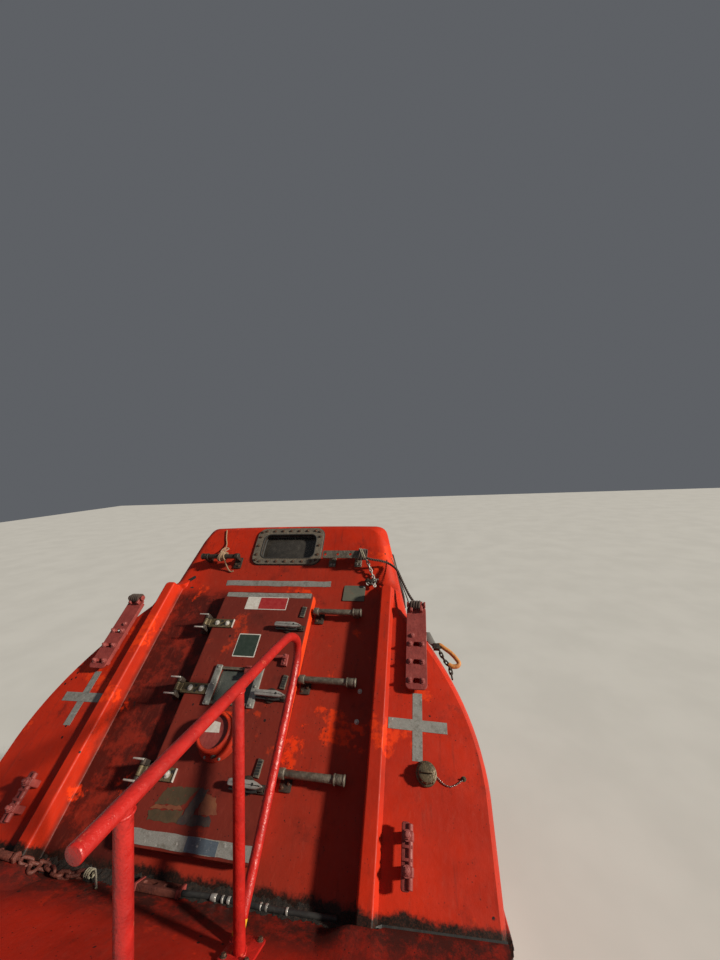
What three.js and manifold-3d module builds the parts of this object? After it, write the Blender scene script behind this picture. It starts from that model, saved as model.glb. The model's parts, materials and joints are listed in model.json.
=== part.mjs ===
// An enclosed free-fall lifeboat on its launching ramp, in millimetres, +Z up.
// The boat has a frame of its own: x to starboard, y to the bow, z up from the baseline,
// with y = 0 where the raked stern bulkhead meets the aft deck. That frame is pitched
// nose-down by the launch angle. The stern bulkhead has a frame too: x, then up its
// slope, then out from its recessed panel.
import * as THREE from 'three';
import { mergeVertices } from 'three/addons/utils/BufferGeometryUtils.js';
import Module from 'manifold-3d';

const wasm = await Module();
wasm.setup();

// Driving dimensions
const launchAngle = 30;
const sternRake = 69.4;
const deckHeight = 1200;
const boatLift = 2790;
const boatForward = -2301;
const transomAt = -1000;
const bowAt = 5900;
const shellWall = 45;
const gap = 0.4;
const ridgeInner = 785;
const ridgeOuter = 863;
const ridgeTop = 115;
const panelOut = 81;
const bandFoot = 1500;
const bandRise = 0.162;
const runnerX = 720;
const runnerBottom = -40;

const doorLeft = -355;
const doorRight = 318;
const doorFoot = 100;
const doorTop = 1430;
const doorThick = 76;
const hingeX = -400;
const hingeOut = 95;

const propellerAt = -650;
const propellerHeight = 150;
const propellerRadius = 212;
const nozzleInner = 245;
const nozzleOuter = 285;
const nozzleLength = 240;

const girderDepth = 260;
const slideThick = 30;
const legSize = 150;
const footThick = 25;
const capPlateThick = 18;

const radians = THREE.MathUtils.degToRad;

// Colours, one material for each finish
function finish(color, roughness, metalness) {
  return new THREE.MeshStandardMaterial({ color, roughness, metalness });
}
const orangeRed = finish(0xa8281c, 0.5, 0);
const hullRed = finish(0x96261c, 0.5, 0);
const railRed = finish(0xc02a26, 0.4, 0);
const darkRed = finish(0x6e1d1a, 0.5, 0.2);
const rubber = finish(0x1c1c1c, 0.8, 0);
const steel = finish(0x9a9a96, 0.35, 0.9);
const greyTube = finish(0x84827c, 0.45, 0.7);
const bronze = finish(0x7a6846, 0.45, 0.8);
const glass = finish(0x303a3c, 0.1, 0);
const greyPaint = finish(0x7c7a74, 0.6, 0.3);
const seatOrange = finish(0xb4512a, 0.7, 0);
const machineGreen = finish(0x4a5e50, 0.6, 0.2);
const rampGrey = finish(0xb4b0a4, 0.6, 0.4);
const slideBlue = finish(0x2e3236, 0.5, 0);

// Solids from closed geometries, and back
function solidOf(geometry, matrix) {
  const bare = geometry.clone();
  bare.deleteAttribute('normal');
  bare.deleteAttribute('uv');
  if (matrix) bare.applyMatrix4(matrix);
  const merged = mergeVertices(bare, 0.005);
  return new wasm.Manifold(new wasm.Mesh({
    numProp: 3,
    vertProperties: new Float32Array(merged.attributes.position.array),
    triVerts: new Uint32Array(merged.index.array),
  }));
}

function geometryOf(solid) {
  const mesh = solid.getMesh();
  const geometry = new THREE.BufferGeometry();
  geometry.setAttribute('position', new THREE.BufferAttribute(mesh.vertProperties, 3));
  geometry.setIndex(new THREE.BufferAttribute(mesh.triVerts, 1));
  geometry.computeVertexNormals();
  return geometry;
}

function united(geometries) {
  return geometries.map((geometry) => solidOf(geometry)).reduce((sum, next) => sum.add(next));
}

function joined(...geometries) {
  return geometryOf(united(geometries));
}

// Simple shapes by their corners, ends or paths
function block(x0, x1, y0, y1, z0, z1) {
  const box = new THREE.BoxGeometry(x1 - x0, y1 - y0, z1 - z0);
  return box.translate((x0 + x1) / 2, (y0 + y1) / 2, (z0 + z1) / 2);
}

function between(from, to) {
  const start = new THREE.Vector3(...from);
  const end = new THREE.Vector3(...to);
  const along = end.clone().sub(start);
  const length = along.length();
  along.normalize();
  const side = Math.abs(along.x) > 0.9 ? new THREE.Vector3(0, 1, 0) : new THREE.Vector3(1, 0, 0);
  const third = new THREE.Vector3().crossVectors(side, along).normalize();
  side.crossVectors(along, third);
  const matrix = new THREE.Matrix4().makeBasis(side, along, third);
  matrix.setPosition(start.add(end).multiplyScalar(0.5));
  return { matrix, length };
}

function beam(from, to, width, depth) {
  const { matrix, length } = between(from, to);
  return new THREE.BoxGeometry(width, length, depth).applyMatrix4(matrix);
}

function rod(from, to, radius, sides = 12) {
  const { matrix, length } = between(from, to);
  return new THREE.CylinderGeometry(radius, radius, length, sides).applyMatrix4(matrix);
}

function pipe(points, radius, steps, sides = 10) {
  const path = new THREE.CatmullRomCurve3(points.map((point) => new THREE.Vector3(...point)), false,
    'centripetal');
  const section = new THREE.Shape();
  section.absarc(0, 0, radius, 0, Math.PI * 2);
  return new THREE.ExtrudeGeometry(section, { steps, curveSegments: sides / 2, extrudePath: path });
}

function roundedShape(x0, x1, y0, y1, radius) {
  const shape = new THREE.Shape();
  shape.moveTo(x0 + radius, y0);
  shape.lineTo(x1 - radius, y0);
  shape.absarc(x1 - radius, y0 + radius, radius, -Math.PI / 2, 0);
  shape.lineTo(x1, y1 - radius);
  shape.absarc(x1 - radius, y1 - radius, radius, 0, Math.PI / 2);
  shape.lineTo(x0 + radius, y1);
  shape.absarc(x0 + radius, y1 - radius, radius, Math.PI / 2, Math.PI);
  shape.lineTo(x0, y0 + radius);
  shape.absarc(x0 + radius, y0 + radius, radius, Math.PI, Math.PI * 1.5);
  return shape;
}

function slab(shape, z0, z1, bevel = 0) {
  const settings = { depth: z1 - z0 - 2 * bevel, curveSegments: 2, bevelEnabled: bevel > 0,
    bevelThickness: bevel, bevelSize: bevel, bevelOffset: -bevel, bevelSegments: 1 };
  return new THREE.ExtrudeGeometry(shape, settings).translate(0, 0, z0 + bevel);
}

function polygon(points) {
  return new THREE.Shape(points.map(([x, y]) => new THREE.Vector2(x, y)));
}

// A prism along x from an outline given as (y, z)
function sidePrism(points, x0, x1) {
  const shape = new THREE.Shape(points.map(([y, z]) => new THREE.Vector2(y, z)));
  const prism = new THREE.ExtrudeGeometry(shape, { depth: x1 - x0, bevelEnabled: false });
  const matrix = new THREE.Matrix4().makeBasis(
    new THREE.Vector3(0, 1, 0), new THREE.Vector3(0, 0, 1), new THREE.Vector3(1, 0, 0));
  return prism.applyMatrix4(matrix).translate(x0, 0, 0);
}

// A closed skin through rings of equal point counts, each ring given as 3D points,
// with flat ends triangulated from each ring's (a, b) outline
function loft(rings) {
  const count = rings[0].points.length;
  const positions = rings.flatMap((ring) => ring.points.flat());
  const faces = [];
  for (let ring = 0; ring < rings.length - 1; ring += 1) {
    for (let i = 0; i < count; i += 1) {
      const next = (i + 1) % count;
      const a = ring * count + i;
      const b = ring * count + next;
      faces.push(a, b + count, b, a, a + count, b + count);
    }
  }
  const last = (rings.length - 1) * count;
  const capOf = (ring) => THREE.ShapeUtils.triangulateShape(
    ring.outline.map(([a, b]) => new THREE.Vector2(a, b)), []);
  capOf(rings[0]).forEach(([a, b, c]) => faces.push(a, b, c));
  capOf(rings[rings.length - 1]).forEach(([a, b, c]) => faces.push(last + a, last + c, last + b));
  const geometry = new THREE.BufferGeometry();
  geometry.setAttribute('position', new THREE.Float32BufferAttribute(positions, 3));
  geometry.setIndex(faces);
  return geometry;
}

// A smooth value from a table's column, without overshoot between its rows
function sample(rows, column, y) {
  const last = rows.length - 1;
  if (y <= rows[0][0]) return rows[0][column];
  if (y >= rows[last][0]) return rows[last][column];
  let i = 0;
  while (rows[i + 1][0] < y) i += 1;
  const slope = (k) => (rows[k + 1][column] - rows[k][column]) / (rows[k + 1][0] - rows[k][0]);
  const tangent = (k) => {
    if (k === 0) return slope(0);
    if (k === last) return slope(last - 1);
    const before = slope(k - 1);
    const after = slope(k);
    return before * after <= 0 ? 0 : 2 * before * after / (before + after);
  };
  const span = rows[i + 1][0] - rows[i][0];
  const t = (y - rows[i][0]) / span;
  const t2 = t * t;
  const t3 = t2 * t;
  return (2 * t3 - 3 * t2 + 1) * rows[i][column] + (t3 - 2 * t2 + t) * span * tangent(i)
    + (3 * t2 - 2 * t3) * rows[i + 1][column] + (t3 - t2) * span * tangent(i + 1);
}

// Hull lines. Columns: y, half beam at the gunwale, keel height, section fullness
const hullLines = [
  [-1000, 1235, 640, 2.3],
  [-500, 1320, 455, 2.4],
  [0, 1358, 240, 2.5],
  [700, 1360, 70, 2.6],
  [1400, 1360, 0, 2.6],
  [2900, 1335, 0, 2.4],
  [3800, 1225, 40, 2.1],
  [4500, 1035, 150, 1.8],
  [5100, 760, 360, 1.6],
  [5550, 470, 640, 1.45],
  [5800, 235, 900, 1.35],
  [5900, 90, 1090, 1.3],
];
const halfColumn = 1;
const keelColumn = 2;
const fullnessColumn = 3;
const sheerRise = 130;
const sheerStart = 3000;

function halfBeam(y) {
  return sample(hullLines, halfColumn, y);
}

function sheer(y) {
  const reach = Math.max(0, (y - sheerStart) / (bowAt - sheerStart));
  return deckHeight + sheerRise * reach * reach;
}

const stationList = [-1000, -750, -500, -250, 0, 350, 700, 1200, 1750, 1900, 2350, 2900, 3350,
  3800, 4150, 4500, 4800, 5100, 5330, 5550, 5700, 5800, 5860, 5900];

function mirroredOutline(half) {
  const port = half.slice().reverse().filter(([x]) => x > 0.001).map(([x, z]) => [-x, z]);
  return half.concat(port);
}

const aboveDeck = 200;
const bilgeSteps = 9;

function hullRing(y, grow) {
  const half = halfBeam(y) + grow;
  const keel = sample(hullLines, keelColumn, y) - grow;
  const power = 2 / sample(hullLines, fullnessColumn, y);
  const depth = sheer(y) - keel;
  const outline = [];
  for (let i = 0; i <= bilgeSteps; i += 1) {
    const turn = (i / bilgeSteps) * Math.PI / 2;
    outline.push([half * Math.sin(turn) ** power, keel + depth * (1 - Math.cos(turn) ** power)]);
  }
  outline[0][0] = 0;
  outline.push([half, sheer(y) + aboveDeck]);
  const full = mirroredOutline(outline);
  return { outline: full, points: full.map(([x, z]) => [x, y, z]) };
}

function hullLoft(grow, from, to) {
  const inside = stationList.filter((y) => y > from && y < to);
  return solidOf(loft([from, ...inside, to].map((y) => hullRing(y, grow))));
}

// Everything above or below the joint between hull and canopy
function sheerBlock(top, offset) {
  const line = stationList.map((y) => [y, sheer(y) + offset]);
  const reach = 600;
  const ends = [[bowAt + reach, sheer(bowAt) + offset], [bowAt + reach, top],
    [transomAt - reach, top], [transomAt - reach, deckHeight + offset]];
  return solidOf(sidePrism([...line, ...ends], -2500, 2500));
}
const aboveJoint = sheerBlock(deckHeight + 3000, 0);
const belowJoint = sheerBlock(deckHeight - 3000, gap);

// The stern bulkhead's frame inside the boat's frame
const sternMatrix = new THREE.Matrix4().makeRotationX(radians(sternRake));
sternMatrix.setPosition(0, 0, deckHeight);
const onStern = (geometry) => solidOf(geometry, sternMatrix);
const bandMatrix = new THREE.Matrix4().makeRotationX(Math.atan(bandRise));
bandMatrix.setPosition(0, bandFoot, 0).premultiply(sternMatrix);

// Canopy lines. Columns: y at the joint, tilt of the section's plane, height of the upright
// wall, half width and height of the shoulder's top, half width and height of the roof
const canopyLines = [
  [0, sternRake, 450, 950, 1330, 770, 2085],
  [600, 74, 440, 930, 1310, 745, 2015],
  [1200, 82, 430, 910, 1270, 730, 1940],
  [1750, 88, 420, 895, 1240, 715, 1890],
  [1900, 90, 420, 890, 1230, 705, 1875],
  [2350, 90, 380, 860, 1130, 620, 1300],
  [2900, 90, 340, 830, 1040, 540, 1215],
  [3800, 90, 270, 700, 850, 440, 1040],
  [4500, 90, 200, 560, 660, 330, 850],
  [5100, 90, 140, 390, 470, 220, 640],
  [5550, 90, 95, 230, 300, 130, 440],
  [5800, 90, 65, 110, 170, 60, 270],
  [5900, 90, 45, 40, 90, 20, 150],
];
const [tiltColumn, wallColumn, footHalfColumn, footHeightColumn, roofHalfColumn, roofHeightColumn]
  = [1, 2, 3, 4, 5, 6];
const canopyStations = [0, 300, 600, 900, 1200, 1750, 1900, 2350, 2900, 3350, 3800, 4150, 4500,
  4800, 5100, 5330, 5550, 5700, 5800, 5860, 5900];
const belowCanopy = -150;
const shoulderSteps = 5;
const roofCorner = 55;
const roofCrown = 12;

function quadratic(start, control, end, t) {
  const mix = (i) => (1 - t) * (1 - t) * start[i] + 2 * t * (1 - t) * control[i] + t * t * end[i];
  return [mix(0), mix(1)];
}

function canopyOutline(y, inset) {
  const value = (column) => sample(canopyLines, column, y);
  const half = halfBeam(y) - inset;
  const wall = value(wallColumn);
  const foot = [Math.max(value(footHalfColumn) - inset * 0.8, 8),
    value(footHeightColumn) - inset * 0.6];
  const roof = [Math.max(value(roofHalfColumn) - inset, 4), value(roofHeightColumn) - inset];
  const base = [half, wall];
  const bulge = [half - 15 * Math.min(1, half / 1000), wall + 0.45 * (foot[1] - wall)];
  const outline = [[half, belowCanopy], [half, 0], base];
  for (let i = 1; i <= shoulderSteps; i += 1) {
    outline.push(quadratic(base, bulge, foot, i / shoulderSteps));
  }
  const sideLength = Math.hypot(roof[0] - foot[0], roof[1] - foot[1]);
  const radius = Math.min(roofCorner, roof[0] * 0.4, sideLength * 0.4);
  const toRoof = [(roof[0] - foot[0]) / sideLength, (roof[1] - foot[1]) / sideLength];
  const cornerStart = [roof[0] - toRoof[0] * radius, roof[1] - toRoof[1] * radius];
  const cornerEnd = [roof[0] - radius, roof[1]];
  for (let i = 0; i <= 3; i += 1) outline.push(quadratic(cornerStart, roof, cornerEnd, i / 3));
  const crown = roofCrown * Math.min(1, roof[0] / 300);
  outline.push([roof[0] * 0.45, roof[1] + crown * 0.75], [0, roof[1] + crown]);
  return mirroredOutline(outline);
}

function canopyRing(y, inset, out) {
  const outline = canopyOutline(y, inset);
  const tilt = radians(sample(canopyLines, tiltColumn, y));
  const points = outline.map(([x, up]) => [
    x,
    y + up * Math.cos(tilt) - out * Math.sin(tilt),
    sheer(y) + up * Math.sin(tilt) + out * Math.cos(tilt),
  ]);
  return { outline, points };
}

// The stern edge is rounded by rings that shrink as they stand out. Columns: out, inset
const sternRounding = [
  [panelOut, 105],
  [62, 58],
  [34, 24],
  [0, 6],
  [-45, 0],
];

function canopyOuter(grow) {
  const rounding = sternRounding.map(([out, inset]) => canopyRing(0, inset - grow, out + grow));
  const body = canopyStations.filter((y) => y > 0).map((y) => canopyRing(y, -grow, 0));
  return solidOf(loft([...rounding, ...body]));
}

function canopyInner() {
  const body = canopyStations.filter((y) => y > 0 && y < 5600);
  const sternInside = canopyRing(0, shellWall, -shellWall);
  return solidOf(loft([sternInside, ...body.map((y) => canopyRing(y, shellWall, 0))]));
}

// The scene graph's frames
const lifeboat = new THREE.Group();
const boat = new THREE.Group();
boat.rotation.x = radians(-launchAngle);
boat.position.set(0, boatForward, boatLift);
lifeboat.add(boat);
const stern = new THREE.Group();
stern.rotation.x = radians(sternRake);
stern.position.z = deckHeight;
boat.add(stern);
const band = new THREE.Group();
band.rotation.x = Math.atan(bandRise);
band.position.y = bandFoot;
stern.add(band);
lifeboat.updateMatrixWorld(true);
const boatMatrix = boat.matrixWorld;

function place(group, name, geometry, material) {
  const mesh = new THREE.Mesh(geometry, material);
  mesh.name = name;
  group.add(mesh);
}

// Windows. Each has a frame of its own: centre, direction along its width and up its height
function windowMatrix(centre, across, up) {
  const normal = new THREE.Vector3().crossVectors(across, up);
  const matrix = new THREE.Matrix4().makeBasis(across, up, normal);
  return matrix.setPosition(...centre);
}
const windscreenUp = new THREE.Vector3(0, -450, 575).normalize();
const windows = [];
for (const [side, sideName] of [[-1, 'port'], [1, 'starboard']]) {
  windows.push({ name: `windscreen_pane_${sideName}`, size: [250, 180],
    centre: [side * 310, 2125, deckHeight + 1587],
    across: new THREE.Vector3(-1, 0, 0), up: windscreenUp });
  windows.push({ name: `cupola_pane_${sideName}`, size: [330, 170],
    centre: [side * 825, 1250, deckHeight + 1610],
    across: new THREE.Vector3(-0.054, side, 0).normalize(),
    up: new THREE.Vector3(-side * 0.26, -0.014, 0.965).normalize() });
}
const windowCorner = 60;
const paneThick = 10;
const paneGap = 0.5;

function windowCut({ size, centre, across, up }) {
  const shape = roundedShape(-size[0], size[0], -size[1], size[1], windowCorner);
  return solidOf(slab(shape, -160, 160), windowMatrix(centre, across, up));
}

function pane({ size, centre, across, up }) {
  const shape = roundedShape(-size[0] + paneGap, size[0] - paneGap, -size[1] + paneGap,
    size[1] - paneGap, windowCorner);
  const inside = -shellWall / 2;
  return slab(shape, inside, inside + paneThick).applyMatrix4(windowMatrix(centre, across, up));
}

// The aft window's heights are measured up the sloping band, from its foot
const aftWindow = { left: -215, right: 237, foot: 238, top: 456, corner: 50 };
const aftFrame = { left: -277, right: 288, foot: 191, top: 512, corner: 70, thick: 14 };

// Roof hatch over the helm
const hatch = { half: 290, aft: 1130, fore: 1690, coamingTop: 3165, wall: 40, lidThick: 42,
  over: 26, hingeAt: 1750, hingeHeight: 3181, hingeReach: 160, hingeRadius: 14 };

// The side panels beside the ridges slope back a little
const panelSlope = 0.079;

function makeCanopyShell() {
  let shell = canopyOuter(0);
  const outsideSlope = Math.atan(panelSlope);
  for (const side of [-1, 1]) {
    const shave = new THREE.BoxGeometry(1200, 3200, 400).translate(side * 600, 0, 200);
    shave.rotateY(side * outsideSlope);
    shave.translate(side * ridgeInner, 900, panelOut);
    shell = shell.subtract(onStern(shave));
  }
  // Above its foot the recess's floor slopes out as a band, until it meets the roof's edge
  const recess = polygon([[-ridgeInner, -200], [ridgeInner, -200], [ridgeInner, 1480],
    [764, 1500], [738, 1640], [722, 1800], [700, 2020], [-700, 2020], [-722, 1800],
    [-738, 1640], [-764, 1500], [-ridgeInner, 1480]]);
  const bandReach = 800;
  const bandBody = sidePrism([[bandFoot, -1], [bandFoot + bandReach, -1],
    [bandFoot + bandReach, bandRise * bandReach], [bandFoot, 0]], -900, 900);
  shell = shell.subtract(onStern(slab(recess, 0, 400)).subtract(onStern(bandBody)));
  for (const side of [-1, 1]) {
    const profile = polygon([[ridgeInner, 0], [ridgeOuter + 8, 0], [ridgeOuter + 2, 98],
      [ridgeOuter - 12, ridgeTop], [ridgeInner + 12, ridgeTop], [ridgeInner, ridgeTop - 12]]
      .map(([x, out]) => [side * x, -out]));
    const ridge = new THREE.ExtrudeGeometry(profile, { depth: 1680, bevelEnabled: false });
    ridge.rotateX(-Math.PI / 2).translate(0, -200, 0);
    shell = shell.add(onStern(ridge));
  }
  const { half, aft, fore, coamingTop, wall, hingeAt, hingeHeight, hingeReach, hingeRadius } = hatch;
  shell = shell.add(solidOf(slab(roundedShape(-half, half, aft, fore, 70), 3000, coamingTop)));
  const earProfile = [[fore - 10, 3050], [hingeAt + hingeRadius, 3050],
    [hingeAt + hingeRadius, hingeHeight + hingeRadius],
    [hingeAt - hingeRadius, hingeHeight + hingeRadius], [hingeAt - hingeRadius, coamingTop - 15],
    [fore - 10, coamingTop - 15]];
  for (const x of [-hingeReach - gap - 22, hingeReach + gap]) {
    shell = shell.add(solidOf(sidePrism(earProfile, x, x + 22)));
  }
  shell = shell.subtract(canopyInner());
  shell = shell.subtract(solidOf(
    slab(roundedShape(-half + wall, half - wall, aft + wall, fore - wall, 45), 2800, 3400)));
  const doorway = roundedShape(doorLeft + 35, doorRight - 35, doorFoot + 35, doorTop - 35, 50);
  shell = shell.subtract(onStern(slab(doorway, -120, 60)));
  const { left, right, foot, top, corner } = aftWindow;
  shell = shell.subtract(solidOf(slab(roundedShape(left, right, foot, top, corner), -250, 150),
    bandMatrix));
  for (const window of windows) shell = shell.subtract(windowCut(window));
  return shell.subtract(belowJoint);
}

// The canopy is moulded in three parts: its stern bulkhead, the helm's part and the bow's part
const sternPartDepth = 170;
const bowPartFrom = 2420;

function makeCanopyParts() {
  const shell = makeCanopyShell();
  const behind = (depth) => onStern(block(-2500, 2500, -1500, 4000, -depth, 600));
  const ahead = (from) => solidOf(block(-2500, 2500, from, 7000, 0, 4000));
  const fore = shell.subtract(behind(sternPartDepth + gap));
  return {
    canopy_stern: geometryOf(shell.intersect(behind(sternPartDepth))),
    canopy: geometryOf(fore.subtract(ahead(bowPartFrom - gap))),
    canopy_bow: geometryOf(fore.intersect(ahead(bowPartFrom))),
  };
}

function makeHull() {
  const cockpitAft = 60;
  let shell = hullLoft(0, transomAt, bowAt).subtract(aboveJoint);
  shell = shell.subtract(hullLoft(-shellWall, cockpitAft, 5600));
  const underDeck = hullLoft(-shellWall, transomAt + shellWall, 400)
    .subtract(solidOf(block(-2000, 2000, -2000, 2000, deckHeight - shellWall, 4000)));
  return geometryOf(shell.subtract(underDeck));
}

const grownHull = hullLoft(gap, transomAt - gap, bowAt + gap);

function makeBelt() {
  const proud = 42;
  const [low, high] = [-205, -95];
  const rings = [...stationList, bowAt + proud].map((y) => {
    const half = halfBeam(y) + proud;
    const bottom = sheer(y) + low;
    const top = sheer(y) + high;
    const outline = [[-half + 14, bottom], [half - 14, bottom], [half, bottom + 30],
      [half, top - 30], [half - 14, top], [-half + 14, top], [-half, top - 30],
      [-half, bottom + 30]];
    return { outline, points: outline.map(([x, z]) => [x, y, z]) };
  });
  return geometryOf(solidOf(loft(rings)).subtract(grownHull));
}

function makeRunner(side) {
  const profile = [[-300, 60], [-240, runnerBottom], [4150, runnerBottom], [4560, 130], [4560, 700],
    [-300, 700]];
  const width = 105;
  const centre = side * runnerX;
  const runner = solidOf(sidePrism(profile, centre - width / 2, centre + width / 2));
  return geometryOf(runner.subtract(grownHull).subtract(aboveJoint));
}

function makeSkeg() {
  const profile = [[-290, 90], [-290, 200], [300, 600], [1700, 600], [1700, -5], [1500, -28],
    [-150, -28]];
  const fin = solidOf(sidePrism(profile, -32, 32));
  const tube = solidOf(rod([0, -300, propellerHeight], [0, 800, propellerHeight], 62, 16));
  return geometryOf(fin.add(tube).subtract(grownHull));
}

function makeNozzle() {
  const half = nozzleLength / 2;
  const profile = [[nozzleInner, -half], [nozzleOuter - 12, -half], [nozzleOuter - 2, -half + 30],
    [nozzleOuter, half - 60], [nozzleOuter - 8, half - 12], [nozzleInner + 18, half],
    [nozzleInner, half - 30], [nozzleInner, -half]]
    .map(([radius, along]) => new THREE.Vector2(radius, along));
  const ring = solidOf(new THREE.LatheGeometry(profile, 32)
    .translate(0, propellerAt, 0));
  const lifted = ring.translate([0, 0, propellerHeight]);
  const stock = solidOf(rod([0, propellerAt, propellerHeight + nozzleInner + 15],
    [0, propellerAt, propellerHeight + nozzleOuter + 62], 34, 16));
  const fin = solidOf(block(-9, 9, propellerAt - half - 150, propellerAt - half + 6,
    propellerHeight - nozzleInner - 15, propellerHeight + nozzleInner + 15));
  return geometryOf(lifted.add(stock).add(fin));
}

const hubRadius = 38;
const shaftRadius = 28;

function makePropeller() {
  const hub = solidOf(rod([0, propellerAt - 55, 0], [0, propellerAt + 45, 0], hubRadius, 16));
  const cone = solidOf(new THREE.CylinderGeometry(hubRadius, 12, 52, 16)
    .translate(0, propellerAt - 80, 0));
  let wheel = hub.add(cone);
  const blade = polygon([[-26, 20], [26, 20], [72, 95], [80, 152], [50, 196],
    [0, propellerRadius], [-44, 194], [-64, 142], [-54, 86]]);
  const bladeCount = 4;
  const bladePitch = radians(32);
  for (let i = 0; i < bladeCount; i += 1) {
    const plate = slab(blade, -5, 5).rotateX(Math.PI / 2).rotateZ(bladePitch);
    plate.rotateY((i * 2 * Math.PI) / bladeCount).translate(0, propellerAt, 0);
    wheel = wheel.add(solidOf(plate));
  }
  return geometryOf(wheel.translate([0, 0, propellerHeight]));
}

function makeShaft() {
  const from = [0, propellerAt + 45 + gap, propellerHeight];
  return rod(from, [0, -300 - gap, propellerHeight], shaftRadius, 14);
}

// Cabin sole, seat rows facing aft and the helm seat's pedestal, all one moulding
function makeSeating() {
  const soleHeight = 420;
  const parts = [block(-1400, 1400, 1150, 4750, soleHeight - 30, soleHeight)];
  const rowStart = 1900;
  const rowPitch = 470;
  const rowCount = 6;
  for (const side of [-1, 1]) {
    for (let row = 0; row < rowCount; row += 1) {
      const y = rowStart + row * rowPitch;
      const inner = 190;
      const outer = Math.min(760, halfBeam(y) - 420);
      const x0 = side > 0 ? inner : -outer;
      const x1 = side > 0 ? outer : -inner;
      const cushion = [[y - 230, soleHeight - 10], [y + 70, soleHeight - 10], [y + 300, 1230],
        [y + 215, 1250], [y - 10, soleHeight + 150], [y - 230, soleHeight + 170]];
      parts.push(sidePrism(cushion, x0, x1));
    }
  }
  parts.push(block(-110, 110, 1240, 1460, soleHeight - 10, 1500));
  parts.push(block(-240, 240, 1130, 1560, 1490, 1570));
  parts.push(beam([0, 1120, 1500], [0, 1000, 2240], 460, 80));
  const inside = hullLoft(-shellWall - 1, 70, 5500);
  const clearAbove = solidOf(block(-700, 700, 200, 5200, deckHeight - 1, 2600));
  return geometryOf(united(parts).intersect(inside.add(clearAbove)));
}

function makeConsole() {
  const profile = [[1930, 420.5], [2180, 420.5], [2250, 1480], [2120, 1640], [1900, 1560]];
  return sidePrism(profile.map(([y, z]) => [y - 120, z]), -170, 170);
}

// Stern door, hinged on its port edge
const hingeHeights = [370, 775, 1180];
const dogHeights = [366, 765, 1170];
const doorPane = { left: -165, right: 75, foot: 715, top: 892 };

function makeDoor() {
  const leaf = solidOf(slab(roundedShape(doorLeft, doorRight, doorFoot, doorTop, 45), gap,
    doorThick, 10));
  const light = roundedShape(doorPane.left, doorPane.right, doorPane.foot, doorPane.top, 25);
  let door = leaf.subtract(solidOf(slab(light, -20, 120)));
  for (const up of hingeHeights) {
    door = door.add(solidOf(block(hingeX, -190, up - 22, up + 22, doorThick - 4, doorThick + 8)));
    door = door.add(solidOf(rod([hingeX, up - 22, hingeOut], [hingeX, up + 22, hingeOut], 13)));
    door = door.add(solidOf(block(hingeX - 8, hingeX + 12, up - 22, up + 22, doorThick - 2,
      hingeOut)));
  }
  return geometryOf(door);
}

function makeHinge(up) {
  const foot = block(-470, hingeX + 16, up - 52, up + 52, gap, 16);
  const ears = [-1, 1].flatMap((end) => {
    const low = end < 0 ? up - 52 : up + 24;
    return [
      block(hingeX - 24, hingeX + 14, low, low + 28, 10, hingeOut),
      rod([hingeX, low, hingeOut], [hingeX, low + 28, hingeOut], 15),
    ];
  });
  return joined(foot, ...ears);
}

function makeDog(up) {
  const hub = rod([190, up, doorThick + gap], [190, up, doorThick + 42], 24);
  const collar = rod([190, up, doorThick + gap], [190, up, doorThick + 12], 36);
  const lever = beam([110, up + 6, doorThick + 34], [285, up - 4, doorThick + 34], 22, 14);
  const tongue = block(255, 290, up - 16, up + 14, doorThick + gap, doorThick + 36);
  return joined(hub, collar, lever, tongue);
}

function makeVent() {
  const base = doorThick + gap;
  const profile = [[0, base], [112, base], [112, base + 10], [86, base + 12], [86, base + 74],
    [78, base + 92], [60, base + 98], [0, base + 98]];
  const points = profile.map(([radius, out]) => new THREE.Vector2(radius, out));
  return new THREE.LatheGeometry(points, 28).rotateX(Math.PI / 2).translate(-30, 555, 0);
}

// A tubular rung from its bracket near the middle of the boat to its ribbed outer collar
const rungRadius = 18;
const rungOut = 52;
const topRungOut = 81;

function makeRung(inner, outer, up, axis) {
  const away = Math.sign(outer - inner);
  const along = (from, to) => [inner + away * from, inner + away * to].sort((a, b) => a - b);
  const length = Math.abs(outer - inner);
  const ring = (from, to, radius) => {
    const [x0, x1] = along(from, to);
    return rod([x0, up, axis], [x1, up, axis], radius);
  };
  const boxAt = (from, to, low, high, foot, top) => block(...along(from, to), up + low, up + high,
    foot, top);
  return joined(
    ring(0, length, rungRadius),
    ring(0, 34, rungRadius + 6),
    ring(length - 62, length - 8, rungRadius + 7),
    ring(length - 6, length, rungRadius + 4),
    boxAt(4, 62, -64, 26, gap, 12),
    boxAt(8, 34, -14, 14, 8, axis),
    boxAt(length - 56, length - 20, -16, 16, gap, axis),
  );
}

// A flat bar step with three holes through it, on two legs with bolted feet
function makeTopStep(x0, x1, up) {
  const [under, face] = [74, 83];
  const plate = block(x0, x1, up - 31, up + 31, under, face);
  const legs = [x0 + 50, x1 - 64].flatMap((x) => [
    block(x, x + 12, up - 26, up + 26, gap, under + 4),
    block(x - 14, x + 40, up - 66, up + 26, gap, 10),
  ]);
  const holes = [20, 116, 212].map((along) => rod([x0 + along, up, under - 5], [x0 + along, up,
    face + 5], 10, 8));
  return geometryOf(united([plate, ...legs]).subtract(united(holes)));
}

// Height of the shaved side panel above the recess
function panelHeight(x) {
  return panelOut - panelSlope * (Math.abs(x) - ridgeInner);
}

// A lifting link: a stand-off plate with a slot between each pair of bolts, turned edges
// and a shackle pin at its free upper end
const linkSlots = [885, 985, 1085];

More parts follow.
